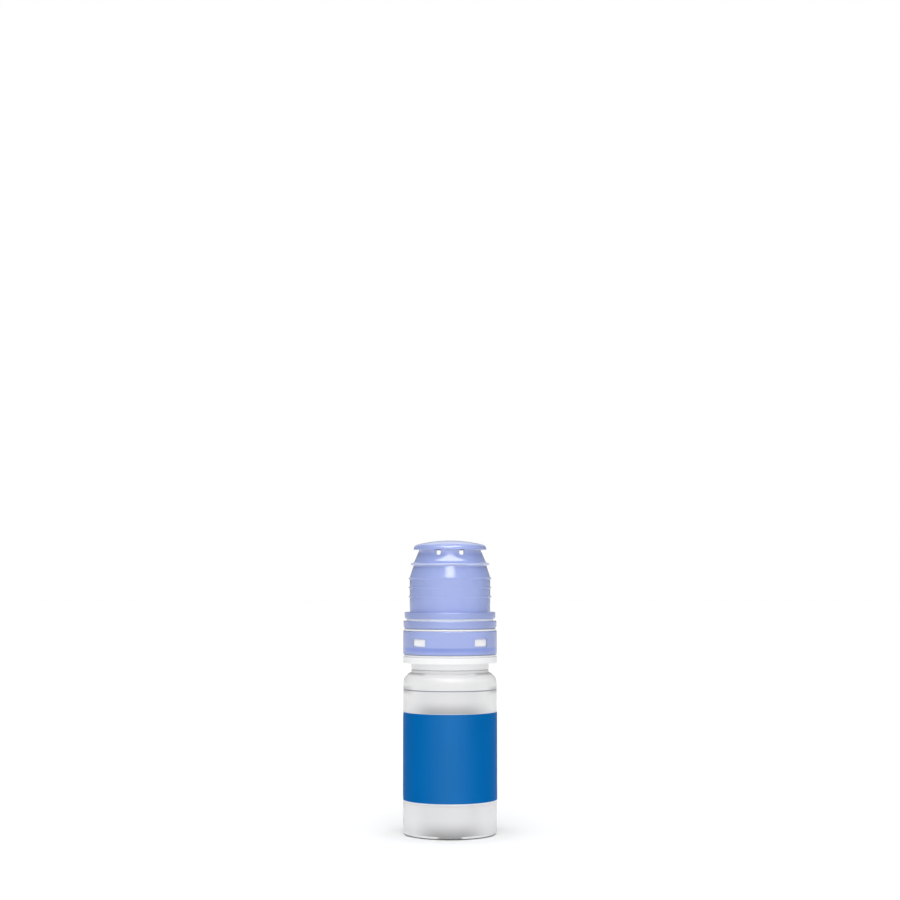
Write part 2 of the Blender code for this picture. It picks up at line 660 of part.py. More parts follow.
def neck_gasket(material):
    inner = NECK_BORE_RADIUS + GASKET_INSET
    outer = NECK_RADIUS + GASKET_INSET
    top = GASKET_Z + GASKET_THICKNESS
    return tube("neck_gasket", inner, outer, GASKET_Z, top, material, INNER_FACETS)


def dispenser_insert(material):
    """Plug in the neck: the feed bore up its middle, the valve's guide, the filter's recess and vent hole."""
    guide = GUIDE_STEM_RADIUS + SEAT_GAP
    corners = [
        (guide, BOSS_TOP_Z),
        (guide + BOSS_WALL, BOSS_TOP_Z),
        (guide + BOSS_WALL, INSERT_FLANGE_TOP_Z),
        (RECESS_INNER_RADIUS, INSERT_FLANGE_TOP_Z),
        (RECESS_INNER_RADIUS, RECESS_Z),
        (RECESS_OUTER_RADIUS, RECESS_Z),
        (RECESS_OUTER_RADIUS, INSERT_FLANGE_TOP_Z),
        (HEAD_RADIUS, INSERT_FLANGE_TOP_Z),
        (HEAD_RADIUS, INSERT_FLANGE_Z),
        (PLUG_RADIUS, INSERT_FLANGE_Z),
        (PLUG_RADIUS, INSERT_PLUG_Z),
        (CAVITY_RADIUS, INSERT_PLUG_Z),
        (CAVITY_RADIUS, CAVITY_TOP_Z),
        (FEED_TUBE_RADIUS, CAVITY_TOP_Z),
        (FEED_TUBE_RADIUS, INSERT_PLUG_Z),
        (FEED_BORE_RADIUS, INSERT_PLUG_Z),
        (FEED_BORE_RADIUS, GUIDE_BORE_Z),
        (guide, GUIDE_BORE_Z),
    ]
    piece = turned("dispenser_insert", corners, material, INNER_FACETS)
    low = CAVITY_TOP_Z - OVERRUN
    high = RECESS_Z + OVERRUN
    rod = [(0, high), (VENT_HOLE_RADIUS, high), (VENT_HOLE_RADIUS, low), (0, low)]
    cutter = turned("vent_hole_cutter", rod, facets=VENT_HOLE_FACETS)
    cutter.location.y = VENT_HOLE_OFFSET
    return combine(piece, cutter, "DIFFERENCE")


def vent_filter(material):
    inner = RECESS_INNER_RADIUS + SEAT_GAP
    outer = RECESS_OUTER_RADIUS - SEAT_GAP
    top = FILTER_Z + FILTER_THICKNESS
    return tube("vent_filter", inner, outer, FILTER_Z, top, material, INNER_FACETS)


def filter_clamp_ring(material):
    outer = RECESS_OUTER_RADIUS - SEAT_GAP
    inner = outer - CLAMP_RING_WIDTH
    top = CLAMP_RING_Z + CLAMP_RING_HEIGHT
    return tube("filter_clamp_ring", inner, outer, CLAMP_RING_Z, top, material, INNER_FACETS)


def nozzle(material):
    """Turret and spout, with the valve's chamber, the stem's bore, the seat and the orifice inside."""
    corners = [
        (ORIFICE_RADIUS, TIP_Z),
        (SPOUT_TIP_RADIUS, TIP_Z, SPOUT_TIP_ROUNDING),
        (SPOUT_FOOT_RADIUS, TURRET_TOP_Z, SPOUT_FOOT_ROUNDING),
        (TURRET_RADIUS, TURRET_TOP_Z, TURRET_ROUNDING),
        (TURRET_RADIUS, NOZZLE_FLANGE_TOP_Z),
        (HEAD_RADIUS, NOZZLE_FLANGE_TOP_Z),
        (HEAD_RADIUS, NOZZLE_Z),
        (CHAMBER_RADIUS, NOZZLE_Z),
        (CHAMBER_RADIUS, CHAMBER_TOP_Z),
        (STEM_BORE_RADIUS, CHAMBER_TOP_Z),
        (STEM_BORE_RADIUS, SEAT_FOOT_Z),
        (ORIFICE_RADIUS, SEAT_TOP_Z),
    ]
    return turned("nozzle", corners, material, INNER_FACETS)


def valve_plunger(material):
    """Piston with a groove for its seal, a guide stem below and a stem with a pin above."""
    piston = CHAMBER_RADIUS - SEAT_GAP
    core = piston - SEAL_GROOVE_DEPTH
    groove_top = SEAL_GROOVE_Z + SEAL_GROOVE_HEIGHT
    pin_top = STEM_TOP_Z + STEM_PIN_LENGTH
    corners = [
        (0, pin_top),
        (STEM_PIN_RADIUS, pin_top),
        (STEM_PIN_RADIUS, STEM_TOP_Z),
        (STEM_RADIUS, STEM_TOP_Z),
        (STEM_RADIUS, PISTON_TOP_Z),
        (piston, PISTON_TOP_Z),
        (piston, groove_top),
        (core, groove_top),
        (core, SEAL_GROOVE_Z),
        (piston, SEAL_GROOVE_Z),
        (piston, PISTON_Z),
        (GUIDE_STEM_RADIUS, PISTON_Z),
        (GUIDE_STEM_RADIUS, GUIDE_STEM_Z),
        (0, GUIDE_STEM_Z),
    ]
    return turned("valve_plunger", corners, material, INNER_FACETS)


def valve_tip(material):
    """Elastomer nose that fits over the stem's pin, with a cone that follows the nozzle's seat."""
    outer = STEM_BORE_RADIUS - RUNNING_GAP
    cup = STEM_PIN_RADIUS + SEAL_GAP
    cup_top = STEM_TOP_Z + STEM_PIN_LENGTH + SEAL_GAP
    slope = SEAT_CONE_HEIGHT / (STEM_BORE_RADIUS - ORIFICE_RADIUS)
    nose_z = VALVE_CONE_Z + (outer - TIP_NOSE_RADIUS) * slope
    corners = [
        (0, nose_z),
        (TIP_NOSE_RADIUS, nose_z),
        (outer, VALVE_CONE_Z),
        (outer, VALVE_TIP_Z),
        (cup, VALVE_TIP_Z),
        (cup, cup_top),
        (0, cup_top),
    ]
    return turned("valve_tip", corners, material, INNER_FACETS)


def plunger_seal(material):
    core = CHAMBER_RADIUS - SEAT_GAP - SEAL_GROOVE_DEPTH
    low = SEAL_GROOVE_Z + SEAL_GAP
    high = SEAL_GROOVE_Z + SEAL_GROOVE_HEIGHT - SEAL_GAP
    outer = CHAMBER_RADIUS - SEAL_BORE_GAP
    return tube("plunger_seal", core + SEAL_GAP, outer, low, high, material, INNER_FACETS)


def return_spring(material):
    """Coil spring between the insert's flange and the piston."""
    low = INSERT_FLANGE_TOP_Z + SPRING_END_GAP + SPRING_WIRE_RADIUS
    high = PISTON_Z - SPRING_END_GAP - SPRING_WIRE_RADIUS
    count = round(SPRING_TURNS * SPRING_POINTS_PER_TURN)
    curve = bpy.data.curves.new("return_spring", "CURVE")
    curve.dimensions = "3D"
    curve.bevel_depth = SPRING_WIRE_RADIUS
    curve.bevel_resolution = 1
    curve.use_fill_caps = True
    spline = curve.splines.new("POLY")
    spline.points.add(count)
    for index, point in enumerate(spline.points):
        turn = math.tau * index / SPRING_POINTS_PER_TURN
        x = SPRING_MEAN_RADIUS * math.cos(turn)
        y = SPRING_MEAN_RADIUS * math.sin(turn)
        point.co = (x, y, low + (high - low) * index / count, 1)
    curve.materials.append(material)
    coil = bpy.data.objects.new("return_spring", curve)
    bpy.context.scene.collection.objects.link(coil)
    return coil


def gather(name, height, pieces):
    """Hangs the pieces that move together on one empty, which stands on the shared axis."""
    empty = bpy.data.objects.new(name, None)
    empty.location.z = height
    bpy.context.scene.collection.objects.link(empty)
    for piece in pieces:
        piece.parent = empty
        piece.location.z = -height


def main():
    clear_scene()
    cap_plastic = finish("cap_plastic", PERIWINKLE, roughness=0.28, transmission=0.25)
    head_plastic = finish("head_plastic", HEAD_WHITE, roughness=0.35)
    silicone = finish("silicone", SILICONE, roughness=0.5, transmission=0.2)
    held = [
        bottle(finish("bottle_plastic", MILKY, roughness=0.25, transmission=0.5)),
        label(finish("label_film", LABEL_BLUE, roughness=0.35)),
        collar(finish("collar_plastic", BRIGHT_WHITE, roughness=0.3)),
        tamper_band(cap_plastic),
        neck_gasket(silicone),
        dispenser_insert(head_plastic),
        vent_filter(finish("membrane", MEMBRANE, roughness=0.9)),
        filter_clamp_ring(head_plastic),
        nozzle(head_plastic),
        return_spring(finish("spring_steel", STEEL, roughness=0.25, metallic=1)),
    ]
    valve = [valve_plunger(head_plastic), valve_tip(silicone), plunger_seal(silicone)]
    gather("bottle_and_head", 0, held)
    gather("valve_slide", PISTON_Z, valve)
    gather("cap_slide", CAP_Z, [cap(cap_plastic)])


main()
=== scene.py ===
"""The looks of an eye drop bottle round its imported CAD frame: plastics, label, elastomers, stage and camera.

Metres, +Z up, front towards -Y, as in the frame. Every turned shell is turned again, finely, from the section
that its own CAD node has in the front half-plane, so that it has the node's sizes with softened edges.
"""

import json
import math

import bmesh
import bpy
from mathutils import Matrix, Vector

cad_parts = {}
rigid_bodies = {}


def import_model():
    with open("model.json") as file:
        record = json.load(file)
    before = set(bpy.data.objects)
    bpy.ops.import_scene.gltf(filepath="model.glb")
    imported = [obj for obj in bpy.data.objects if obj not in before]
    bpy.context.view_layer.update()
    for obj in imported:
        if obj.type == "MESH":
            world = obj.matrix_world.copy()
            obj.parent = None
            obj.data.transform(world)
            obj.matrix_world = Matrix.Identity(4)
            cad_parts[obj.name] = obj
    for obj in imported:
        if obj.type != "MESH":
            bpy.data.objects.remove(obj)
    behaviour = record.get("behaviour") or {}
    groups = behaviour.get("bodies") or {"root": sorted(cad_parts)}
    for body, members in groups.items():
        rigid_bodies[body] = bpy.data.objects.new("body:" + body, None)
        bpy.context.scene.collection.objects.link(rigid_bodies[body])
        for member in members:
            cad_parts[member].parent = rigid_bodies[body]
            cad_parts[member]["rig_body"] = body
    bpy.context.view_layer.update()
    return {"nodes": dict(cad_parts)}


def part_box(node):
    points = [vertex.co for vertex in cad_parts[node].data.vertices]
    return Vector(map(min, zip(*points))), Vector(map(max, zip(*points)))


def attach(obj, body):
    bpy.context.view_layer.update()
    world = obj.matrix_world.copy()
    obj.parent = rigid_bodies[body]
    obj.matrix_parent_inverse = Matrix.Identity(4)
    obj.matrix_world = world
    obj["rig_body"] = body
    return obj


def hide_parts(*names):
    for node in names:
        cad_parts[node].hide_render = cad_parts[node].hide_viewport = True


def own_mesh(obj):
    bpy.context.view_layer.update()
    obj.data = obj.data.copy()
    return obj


# Meshing
FINE_FACETS = 180
INNER_FINE_FACETS = 96
SECTION_TILT_DEGREES = 0.05
WELD_DISTANCE = 0.000001
STRAIGHT_DEGREES = 0.4
ARC_DEGREES = 15
BEND_DEGREES = 50
ARC_REACH = 0.0012
BEND_REACH = 0.00025
EDGE_RADIUS = 0.00007
ROUND_STEPS = 4
SUPPORT = 0.00003
CORNER_REACH = 0.0001
SHARP_DEGREES = 40
OVERRUN = 0.002

# Cuts and joined-on bits, as in the frame
VENT_OFFSET = 0.00292
VENT_WIDTH = 0.00115
VENT_DROP = 0.00375
VENT_HEIGHT = 0.0015
VENT_REACH = 0.00816
ROUND_END_STEPS = 12
WINDOW_OFFSET = 0.007747
WINDOW_WIDTH = 0.0031
WINDOW_LIFT = 0.00203
WINDOW_HEIGHT = 0.002
WINDOW_ROUNDING = 0.0003
LUG_GAP = 0.00004
LUG_INNER_RADIUS = 0.0098
LUG_OUTER_RADIUS = 0.01175
LUG_ROUNDING = 0.00012
BRIDGE_DEGREES = (0, 30, 150, 180, 210, 330)
BRIDGE_WIDTH = 0.0004
BRIDGE_DEPTH = 0.0004
BRIDGE_INNER_RADIUS = 0.01125
BRIDGE_RISE = 0.00033
BRIDGE_ROOT = 0.0002
VENT_HOLE_RADIUS = 0.00045
VENT_HOLE_OFFSET = 0.0049
VENT_HOLE_DROP = 0.005
VENT_HOLE_LENGTH = 0.0034
VENT_HOLE_SIDES = 32

# Cap, band and collar; the band's top rises above the bottle's
BAND_HEIGHT = 0.00588
BAND_TOP_RISE = 0.00245
CONE_FOOT_RADIUS = 0.0093
CONE_SLOPE = 0.4235
SCOOP_FOOT = 0.0058
SCOOP_HEIGHT = 0.0034
SCOOP_BEND = 0.002
SCOOP_UPPER_SLOPE = 0.265
SCOOP_FOOT_SLOPE = 0.76
SCOOP_INNER_DEGREES = 15.0
SCOOP_OUTER_DEGREES = 50.0
SCOOP_STEP = 0.00018
SCOOP_FOOT_ZONE = 0.0003
SCOOP_MARGIN = 0.00005
SCOOP_SKIN = 0.0003
SCOOP_LEDGE_MARGIN = 0.00025
SCOOP_FLARE = 0.0004
LEDGE_RADIUS = 0.01012
LEDGE_TOP = 0.0687
LEDGE_ROUNDING = 0.0004
FLANGE_RADIUS = 0.01167
FLANGE_TOP = 0.0562
FLANGE_ROUNDING = 0.00003
GRIP_RADIUS = 0.01033
RIB_DEPTH = 0.00028
RIB_MARGIN = 0.00005
RIBS_FOOT = 0.0594
RIBS_TOP = 0.06508
RIB_FADE_START = 30.0
RIB_FADE_END = 62.0
RIB_FRONT_SHARE = 0.1
REST_RING_OUTER_RADIUS = 0.0119
REST_RING_LIFT = 0.00006
REST_RING_HEIGHT = 0.00043
REST_RING_ROUNDING = REST_RING_HEIGHT / 3
SKIRT_ZONE = 0.0003
SKIRT_DROP = 0.00005

# Bottle and label
BODY_TOP = 0.04075
RING_LINE_RISE = 0.0056
LABEL_THICKNESS = 0.00005
LABEL_SEAM_WIDTH = 0.0076
LABEL_ROUNDING = 0.0016
LABEL_START_DEGREES = 186
LABEL_CORNER_STEPS = 10
LABEL_COLUMNS = 200
LABEL_ROWS = (0.0, 0.008, 0.014, 0.02, 0.03, 0.06, 0.5, 0.94, 0.97, 0.98, 0.986, 0.992, 1.0)

# Return spring
SPRING_FOOT = 0.0517
SPRING_TOP = 0.0568
SPRING_MEAN_RADIUS = 0.00225
SPRING_WIRE_RADIUS = 0.0002
SPRING_TURNS = 5.5
SPRING_CLOSED_TURNS = 0.9
SPRING_STEPS_PER_TURN = 48
SPRING_SIDES = 14

# Camera, fitted to the photograph
CAMERA_DISTANCE = 0.4672
CAMERA_HEIGHT = 0.0651
CAMERA_PITCH_DEGREES = 4.008
CAMERA_LENS = 72.6
CAMERA_SENSOR = 36

# Stage and lights
FLOOR_SIZE = 8.0
SKY_LIGHT = 0.46
SKY_MIRRORED = 0.3
FRONT_LIGHT = 1.3
FRONT_MIRRORED = 0.1
SIDE_DIMMING = 0.4
REAR_LIGHT = 0.35
FRONT_FROM = -0.7
FRONT_FULL = -0.97
SIDES_FROM = 0.5
SIDES_FULL = 0.95
REAR_FROM = 0.4
REAR_FULL = 0.9
LEAST_RISE = 0.001
SOFTBOX_LIGHT = 1.6
SOFTBOX_MIRRORED = 5.3
SOFTBOX_HALF_WIDTH = 0.6
SOFTBOX_TAPER = 0.26
SOFTBOX_SIDE_SOFTNESS = 0.26
SOFTBOX_FRONT = 1.5
SOFTBOX_FRONT_SOFTNESS = 0.4
SOFTBOX_REAR = -0.2
SOFTBOX_REAR_MIRRORED = 0.25
SOFTBOX_REAR_SOFTNESS = 0.05
MIRRORED_WHITE_SIDES = (0.2, 0.45)
MIRRORED_WHITE_RISE = (0.12, 0.35)
MIRRORED_WHITE_DEPTH = (0.45, 0.75)
BACKGROUND_WHITE = 1.0
FLOOR_GLOW = 0.12
# The floor's glow is left out near the bottle's foot and comes in between these radii, so the floor is darker
# there: painted contact shade over the rendered shadow
GLOW_START = 0.012
GLOW_END = 0.024

# Least distance from the axis that a colour's sideways share is taken of
DISC_REACH = 0.0085

# Gloss of moulded plastic, about its mean roughness
LESS_ROUGH = 0.03
MORE_ROUGH = 0.04

# Label's unprinted margin, which is wider at its foot, and the reach of the painted highlight in its middle
FOOT_MARGIN = 0.0002
MARGIN = 0.00004
FOOT_MARGIN_FROM = 0.0008
FOOT_MARGIN_TO = 0.0018
PRINT_SOFTNESS = 0.00006
LABEL_HIGHLIGHT_REACH = 0.0085

# Linear colours
PERIWINKLE = (0.375, 0.455, 0.82)
# Painted shade for the sides of the cap and the band
SIDE_SHADED_PERIWINKLE = (0.29, 0.355, 0.65)
DEEP_PERIWINKLE = (0.24, 0.32, 0.74)
# Painted light for the cap's groove, lip and thin walls
PAINTED_LIGHT_PERIWINKLE = (0.85, 0.89, 0.98)
WHITE_PLASTIC = (0.945, 0.945, 0.955)
MILKY = (0.78, 0.78, 0.79)
# Painted light for the bottle's sides
LIT_SIDE_MILKY = (0.96, 0.96, 0.97)
BRIGHT_MILKY = (0.855, 0.855, 0.865)
RING_LINE = (0.32, 0.32, 0.38)
# Painted light for the collar's lugs and rest ring
LIT_LUG_WHITE = (0.98, 0.985, 1.0)
GREY_SHADE = (0.36, 0.36, 0.37)
LABEL_SHADE = (0.48, 0.48, 0.49)
BASE_SHADE = (0.18, 0.18, 0.18)
# Painted reflection on the bottle's base edge
REFLECTED_ARC_WHITE = (0.97, 0.97, 0.98)
LABEL_BLUE = (0.0005, 0.132, 0.425)
# Painted highlight for the label's middle
HIGHLIGHT_LABEL_BLUE = (0.016, 0.156, 0.45)
LABEL_EDGE = (0.90, 0.92, 0.95)
HEAD_WHITE = (0.86, 0.87, 0.88)
SILICONE = (0.62, 0.64, 0.66)
MEMBRANE = (0.90, 0.90, 0.86)
STEEL = (0.55, 0.55, 0.56)
FLOOR_PALE = (0.93, 0.93, 0.93)
EVEN_SCATTER = (1.0, 1.0, 1.0)

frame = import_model()


# Shapes

def section(node):
    """A turned CAD node's outline: its (radius, height) points in order, and if it is closed."""
    shape = bmesh.new()
    shape.from_mesh(frame["nodes"][node].data)
    bmesh.ops.remove_doubles(shape, verts=shape.verts, dist=WELD_DISTANCE)
    tilt = math.radians(SECTION_TILT_DEGREES)
    forward = Vector((math.sin(tilt), -math.cos(tilt), 0))
    for normal, keep in ((forward, "front"), (Vector((forward.y, -forward.x, 0)), "plane")):
        everything = shape.verts[:] + shape.edges[:] + shape.faces[:]
        cut = bmesh.ops.bisect_plane(
            shape,
            geom=everything,
            plane_co=(0, 0, 0),
            plane_no=normal,
            clear_inner=True,
            clear_outer=keep == "plane",
        )
    edges = [item for item in cut["geom_cut"] if isinstance(item, bmesh.types.BMEdge)]
    links = {}
    for edge in edges:
        for one, other in (edge.verts, reversed(edge.verts)):
            links.setdefault(one, []).append(other)
    ends = [vert for vert in links if len(links[vert]) == 1]
    walk = [ends[0] if ends else next(iter(links))]
    seen = {walk[0]}
    while True:
        ahead = [vert for vert in links[walk[-1]] if vert not in seen]
        if not ahead:
            break
        walk.append(ahead[0])
        seen.add(ahead[0])
    points = [Vector((max(vert.co.dot(forward), 0), vert.co.z)) for vert in walk]
    shape.free()
    return straightened(points, not ends), not ends


def turn_at(before, here, after):
    """How far an outline turns at a point, in degrees."""
    back = here - before
    ahead = after - here
    if back.length < WELD_DISTANCE or ahead.length < WELD_DISTANCE:
        return 0
    return math.degrees(back.angle(ahead))


def straightened(points, closed):
    """The outline without the points that lie on its straight stretches."""
    kept = []
    for index, here in enumerate(points):
        inside = closed or 0 < index < len(points) - 1
        before = kept[-1] if kept else points[index - 1]
        if inside and turn_at(before, here, points[(index + 1) % len(points)]) < STRAIGHT_DEGREES:
            continue
        kept.append(here)
    return kept


def softened(points, closed, roundings=()):
    """The outline with its coarse arcs made round and its edges given a small radius.

    Some corners have a rounding of their own: (radius, height, rounding). A point just beyond each end of
    an edge's arc keeps the shading of the straight stretch beside it even. An open outline ends on the axis,
    and is made round there as if it went on in its own mirror image.
    """
    smooth = []
    for index, here in enumerate(points):
        before = points[index - 1]
        after = points[(index + 1) % len(points)]
        if not closed and index == 0:
            before = Vector((-after.x, after.y))
        if not closed and index == len(points) - 1:
            after = Vector((-before.x, before.y))
        turn = turn_at(before, here, after)
        longest = min((here - before).length, (after - here).length) / 2
        if turn < ARC_DEGREES:
            reach = min(longest, ARC_REACH)
        elif turn < BEND_DEGREES:
            reach = min(longest, BEND_REACH)
        else:
            rounding = EDGE_RADIUS
            for radius, height, special in roundings:
                if (here - Vector((radius, height))).length < CORNER_REACH:
                    rounding = special
            reach = min(longest, rounding * math.tan(math.radians(turn / 2)))
        first = here + (before - here).normalized() * reach
        last = here + (after - here).normalized() * reach
        if turn >= ARC_DEGREES and (here - before).length > 2 * (reach + SUPPORT):
            smooth.append(first + (before - here).normalized() * SUPPORT)
        for step in range(ROUND_STEPS + 1):
            share = step / ROUND_STEPS
            near = first.lerp(here, share)
            far = here.lerp(last, share)
            smooth.append(near.lerp(far, share))
        if turn >= ARC_DEGREES and (after - here).length > 2 * (reach + SUPPORT):
            smooth.append(last + (after - here).normalized() * SUPPORT)
    return [Vector((max(point.x, 0), point.y)) for point in smooth if point.x > -WELD_DISTANCE]


def divided(points, closed, low, high):
    """The outline with its straight stretches between two heights cut into short ones."""
    fine = []
    for index, here in enumerate(points):
        fine.append(here)
        after = points[(index + 1) % len(points)]
        if not closed and index == len(points) - 1:
            continue
        if min(here.y, after.y) < low or max(here.y, after.y) > high:
            continue
        parts = math.ceil((after - here).length / SCOOP_STEP)
        for part in range(1, parts):
            fine.append(here.lerp(after, part / parts))
    return fine


def add_piece(name, shape, material):
    mesh = bpy.data.meshes.new(name)
    shape.to_mesh(mesh)
    shape.free()
    mesh.shade_smooth()
    mesh.set_sharp_from_angle(angle=math.radians(SHARP_DEGREES))
    mesh.materials.append(material)
    piece = bpy.data.objects.new(name, mesh)
    bpy.context.scene.collection.objects.link(piece)
    return piece


def turned(name, points, closed, material, facets=FINE_FACETS):
    """A solid turned about the Z axis from an outline of (radius, height) points."""
    shape = bmesh.new()
    verts = [shape.verts.new((0, -point.x, point.y)) for point in points]
    ahead = verts[1:] + verts[:1] if closed else verts[1:]
    edges = [shape.edges.new(pair) for pair in zip(verts, ahead)]
    bmesh.ops.spin(
        shape,
        geom=verts + edges,
        cent=(0, 0, 0),
        axis=(0, 0, 1),
        angle=math.tau,
        steps=facets,
        use_merge=True,
    )
    bmesh.ops.remove_doubles(shape, verts=shape.verts, dist=WELD_DISTANCE)
    bmesh.ops.recalc_face_normals(shape, faces=shape.faces)
    return add_piece(name, shape, material)


def prism(shape, outline, low, high):
    """Adds a solid to a mesh: an upright outline of (x, z) points, drawn out along Y from low to high."""
    face = shape.faces.new([shape.verts.new((x, low, z)) for x, z in outline])
    made = bmesh.ops.extrude_face_region(shape, geom=[face])["geom"]
    moved = [item for item in made if isinstance(item, bmesh.types.BMVert)]
    bmesh.ops.translate(shape, verts=moved, vec=(0, high - low, 0))
    return moved + list(face.verts)


def box_outline(middle, width, low, high, rounding=0.0):
    """The (x, z) points of an upright rectangle, with round corners if a rounding is given."""
    half = width / 2
    corners = ((half, low, -90), (half, high, 0), (-half, high, 90), (-half, low, 180))
    points = []
    for x, z, start in corners:
        if not rounding:
            points.append((middle + x, z))
            continue
        centre_x = middle + math.copysign(half - rounding, x)
        centre_z = z + math.copysign(rounding, high + low - 2 * z)
        for step in range(ROUND_STEPS + 1):
            angle = math.radians(start + 90 * step / ROUND_STEPS)
            points.append((centre_x + rounding * math.cos(angle), centre_z + rounding * math.sin(angle)))
    return points


def carve(piece, shape, operation):
    """Changes a piece by a helper solid: cuts it out, joins it on, or keeps only what both hold."""
    bmesh.ops.recalc_face_normals(shape, faces=shape.faces)
    tool = add_piece(f"{piece.name}_tool", shape, piece.data.materials[0])
    modifier = piece.modifiers.new("carve", "BOOLEAN")
    modifier.operation = operation
    modifier.solver = "EXACT"
    modifier.object = tool
    whole = piece.evaluated_get(bpy.context.evaluated_depsgraph_get())
    mesh = bpy.data.meshes.new_from_object(whole)
    piece.modifiers.clear()
    piece.data = mesh
    bpy.data.objects.remove(tool)
    mesh.shade_smooth()
    mesh.set_sharp_from_angle(angle=math.radians(SHARP_DEGREES))
    return piece


def shape_of(piece):
    """The shape of a helper piece, which goes."""
    shape = bmesh.new()
    shape.from_mesh(piece.data)
    bpy.data.objects.remove(piece)
    return shape


def eased(share):
    """A share that is held between zero and one and starts and ends gently."""
    held = min(max(share, 0), 1)
    return held * held * (3 - 2 * held)


def vents():
    """Round-bottomed slots through the front and the back of the cap's vented cone."""
    shape = bmesh.new()
    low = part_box("cap")[1].z - VENT_DROP
    half = VENT_WIDTH / 2
    for offset in (-VENT_OFFSET, VENT_OFFSET):
        outline = [(offset - half, low + VENT_HEIGHT), (offset + half, low + VENT_HEIGHT)]
        for step in range(ROUND_END_STEPS + 1):
            angle = math.pi * step / ROUND_END_STEPS
            outline.append((offset + half * math.cos(angle), low + half - half * math.sin(angle)))
        prism(shape, outline, -VENT_REACH, VENT_REACH)
    return shape


def windows():
    """The band's four windows, two on each side."""
    shape = bmesh.new()
    low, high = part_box("tamper_band")
    window_low = low.z + WINDOW_LIFT
    for offset in (-WINDOW_OFFSET, WINDOW_OFFSET):
        outline = box_outline(offset, WINDOW_WIDTH, window_low, window_low + WINDOW_HEIGHT, WINDOW_ROUNDING)
        prism(shape, outline, low.y - OVERRUN, high.y + OVERRUN)
    return shape


def lugs():
    """The collar's four lugs, which stand in the band's windows: parts of a ring with rounded outer edges."""
    low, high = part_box("tamper_band")
    lug_low = low.z + WINDOW_LIFT + LUG_GAP
    lug_high = low.z + WINDOW_LIFT + WINDOW_HEIGHT - LUG_GAP
    inner = LUG_INNER_RADIUS
    outer = LUG_OUTER_RADIUS
    corners = [(inner, lug_low), (outer, lug_low), (outer, lug_high), (inner, lug_high)]
    outline = []
    for index, (radius, height) in enumerate(corners):
        if radius == inner:
            outline.append(Vector((radius, height)))
            continue
        here = Vector((radius, height))
        for step in range(ROUND_STEPS + 1):
            angle = math.radians(-90 + 90 * (index - 1) + 90 * step / ROUND_STEPS)
            middle = (lug_low + lug_high) / 2
            centre = Vector((outer - LUG_ROUNDING, here.y + math.copysign(LUG_ROUNDING, middle - here.y)))
            outline.append(centre + Vector((math.cos(angle), math.sin(angle))) * LUG_ROUNDING)
    ring = turned("lugs", outline, True, None)
    bars = bmesh.new()
    for offset in (-WINDOW_OFFSET, WINDOW_OFFSET):
        width = WINDOW_WIDTH - 2 * LUG_GAP
        prism(bars, box_outline(offset, width, lug_low - OVERRUN, lug_high + OVERRUN), low.y, high.y)
    return shape_of(carve(ring, bars, "INTERSECT"))


def bridges():
    """The stubs of the bridges that tied the band to the cap's rim."""
    shape = bmesh.new()
    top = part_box("bottle")[1].z + BAND_TOP_RISE
    for degrees in BRIDGE_DEGREES:
        outline = box_outline(0, BRIDGE_WIDTH, top - BRIDGE_ROOT, top + BRIDGE_RISE)
        verts = prism(shape, outline, BRIDGE_INNER_RADIUS, BRIDGE_INNER_RADIUS + BRIDGE_DEPTH)
        turn = Matrix.Rotation(math.radians(degrees) - math.pi / 2, 3, "Z")
        bmesh.ops.rotate(shape, verts=verts, cent=(0, 0, 0), matrix=turn)
    return shape


def scoop(piece):
    """Makes the cap's upper cone slightly hollow at the front and the back, flaring out onto the ledge."""
    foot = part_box("cap")[1].z - SCOOP_FOOT
    outer = 0
    for vert in piece.data.vertices:
        if abs(vert.co.z - foot) < SCOOP_FOOT_ZONE:
            outer = max(outer, math.hypot(vert.co.x, vert.co.y))
    for vert in piece.data.vertices:
        height = vert.co.z - foot
        radius = math.hypot(vert.co.x, vert.co.y)
        straight = CONE_FOOT_RADIUS - height * CONE_SLOPE
        if not -SCOOP_MARGIN < height < SCOOP_HEIGHT:
            continue
        if radius < straight - SCOOP_SKIN or radius > outer - SCOOP_LEDGE_MARGIN:
            continue
        aside = math.degrees(math.atan2(abs(vert.co.x), abs(vert.co.y)))
        weight = eased((SCOOP_OUTER_DEGREES - aside) / (SCOOP_OUTER_DEGREES - SCOOP_INNER_DEGREES))
        hollow = CONE_FOOT_RADIUS - SCOOP_HEIGHT * CONE_SLOPE + (SCOOP_HEIGHT - height) * SCOOP_UPPER_SLOPE
        bend = max(SCOOP_BEND - height, 0) / SCOOP_BEND
        hollow += (SCOOP_FOOT_SLOPE - SCOOP_UPPER_SLOPE) * SCOOP_BEND * bend**2 / 2
        moved = radius + (hollow - straight) * weight
        if height < SCOOP_FLARE:
            moved = max(moved, radius)
        vert.co.x *= moved / radius
        vert.co.y *= moved / radius


def fade_ribs(piece):
    """Lets the grip's ribs fade towards the front and the back, where they hardly show."""
    for vert in piece.data.vertices:
        radius = math.hypot(vert.co.x, vert.co.y)
        beyond = radius - GRIP_RADIUS
        if not 0 < beyond < RIB_DEPTH + RIB_MARGIN or not RIBS_FOOT < vert.co.z < RIBS_TOP:
            continue
        aside = math.degrees(math.atan2(abs(vert.co.x), abs(vert.co.y)))
        share = eased((aside - RIB_FADE_START) / (RIB_FADE_END - RIB_FADE_START))
        depth = RIB_FRONT_SHARE + (1 - RIB_FRONT_SHARE) * share
        vert.co.x *= (GRIP_RADIUS + beyond * depth) / radius
        vert.co.y *= (GRIP_RADIUS + beyond * depth) / radius


def shape_cap(piece):
    scoop(piece)
    fade_ribs(piece)


def close_skirt(piece):
    """Brings the collar's skirt down onto the shoulder of the bottle's neck."""
    foot = min(vert.co.z for vert in piece.data.vertices)
    for vert in piece.data.vertices:
        if vert.co.z < foot + SKIRT_ZONE:
            vert.co.z -= SKIRT_DROP


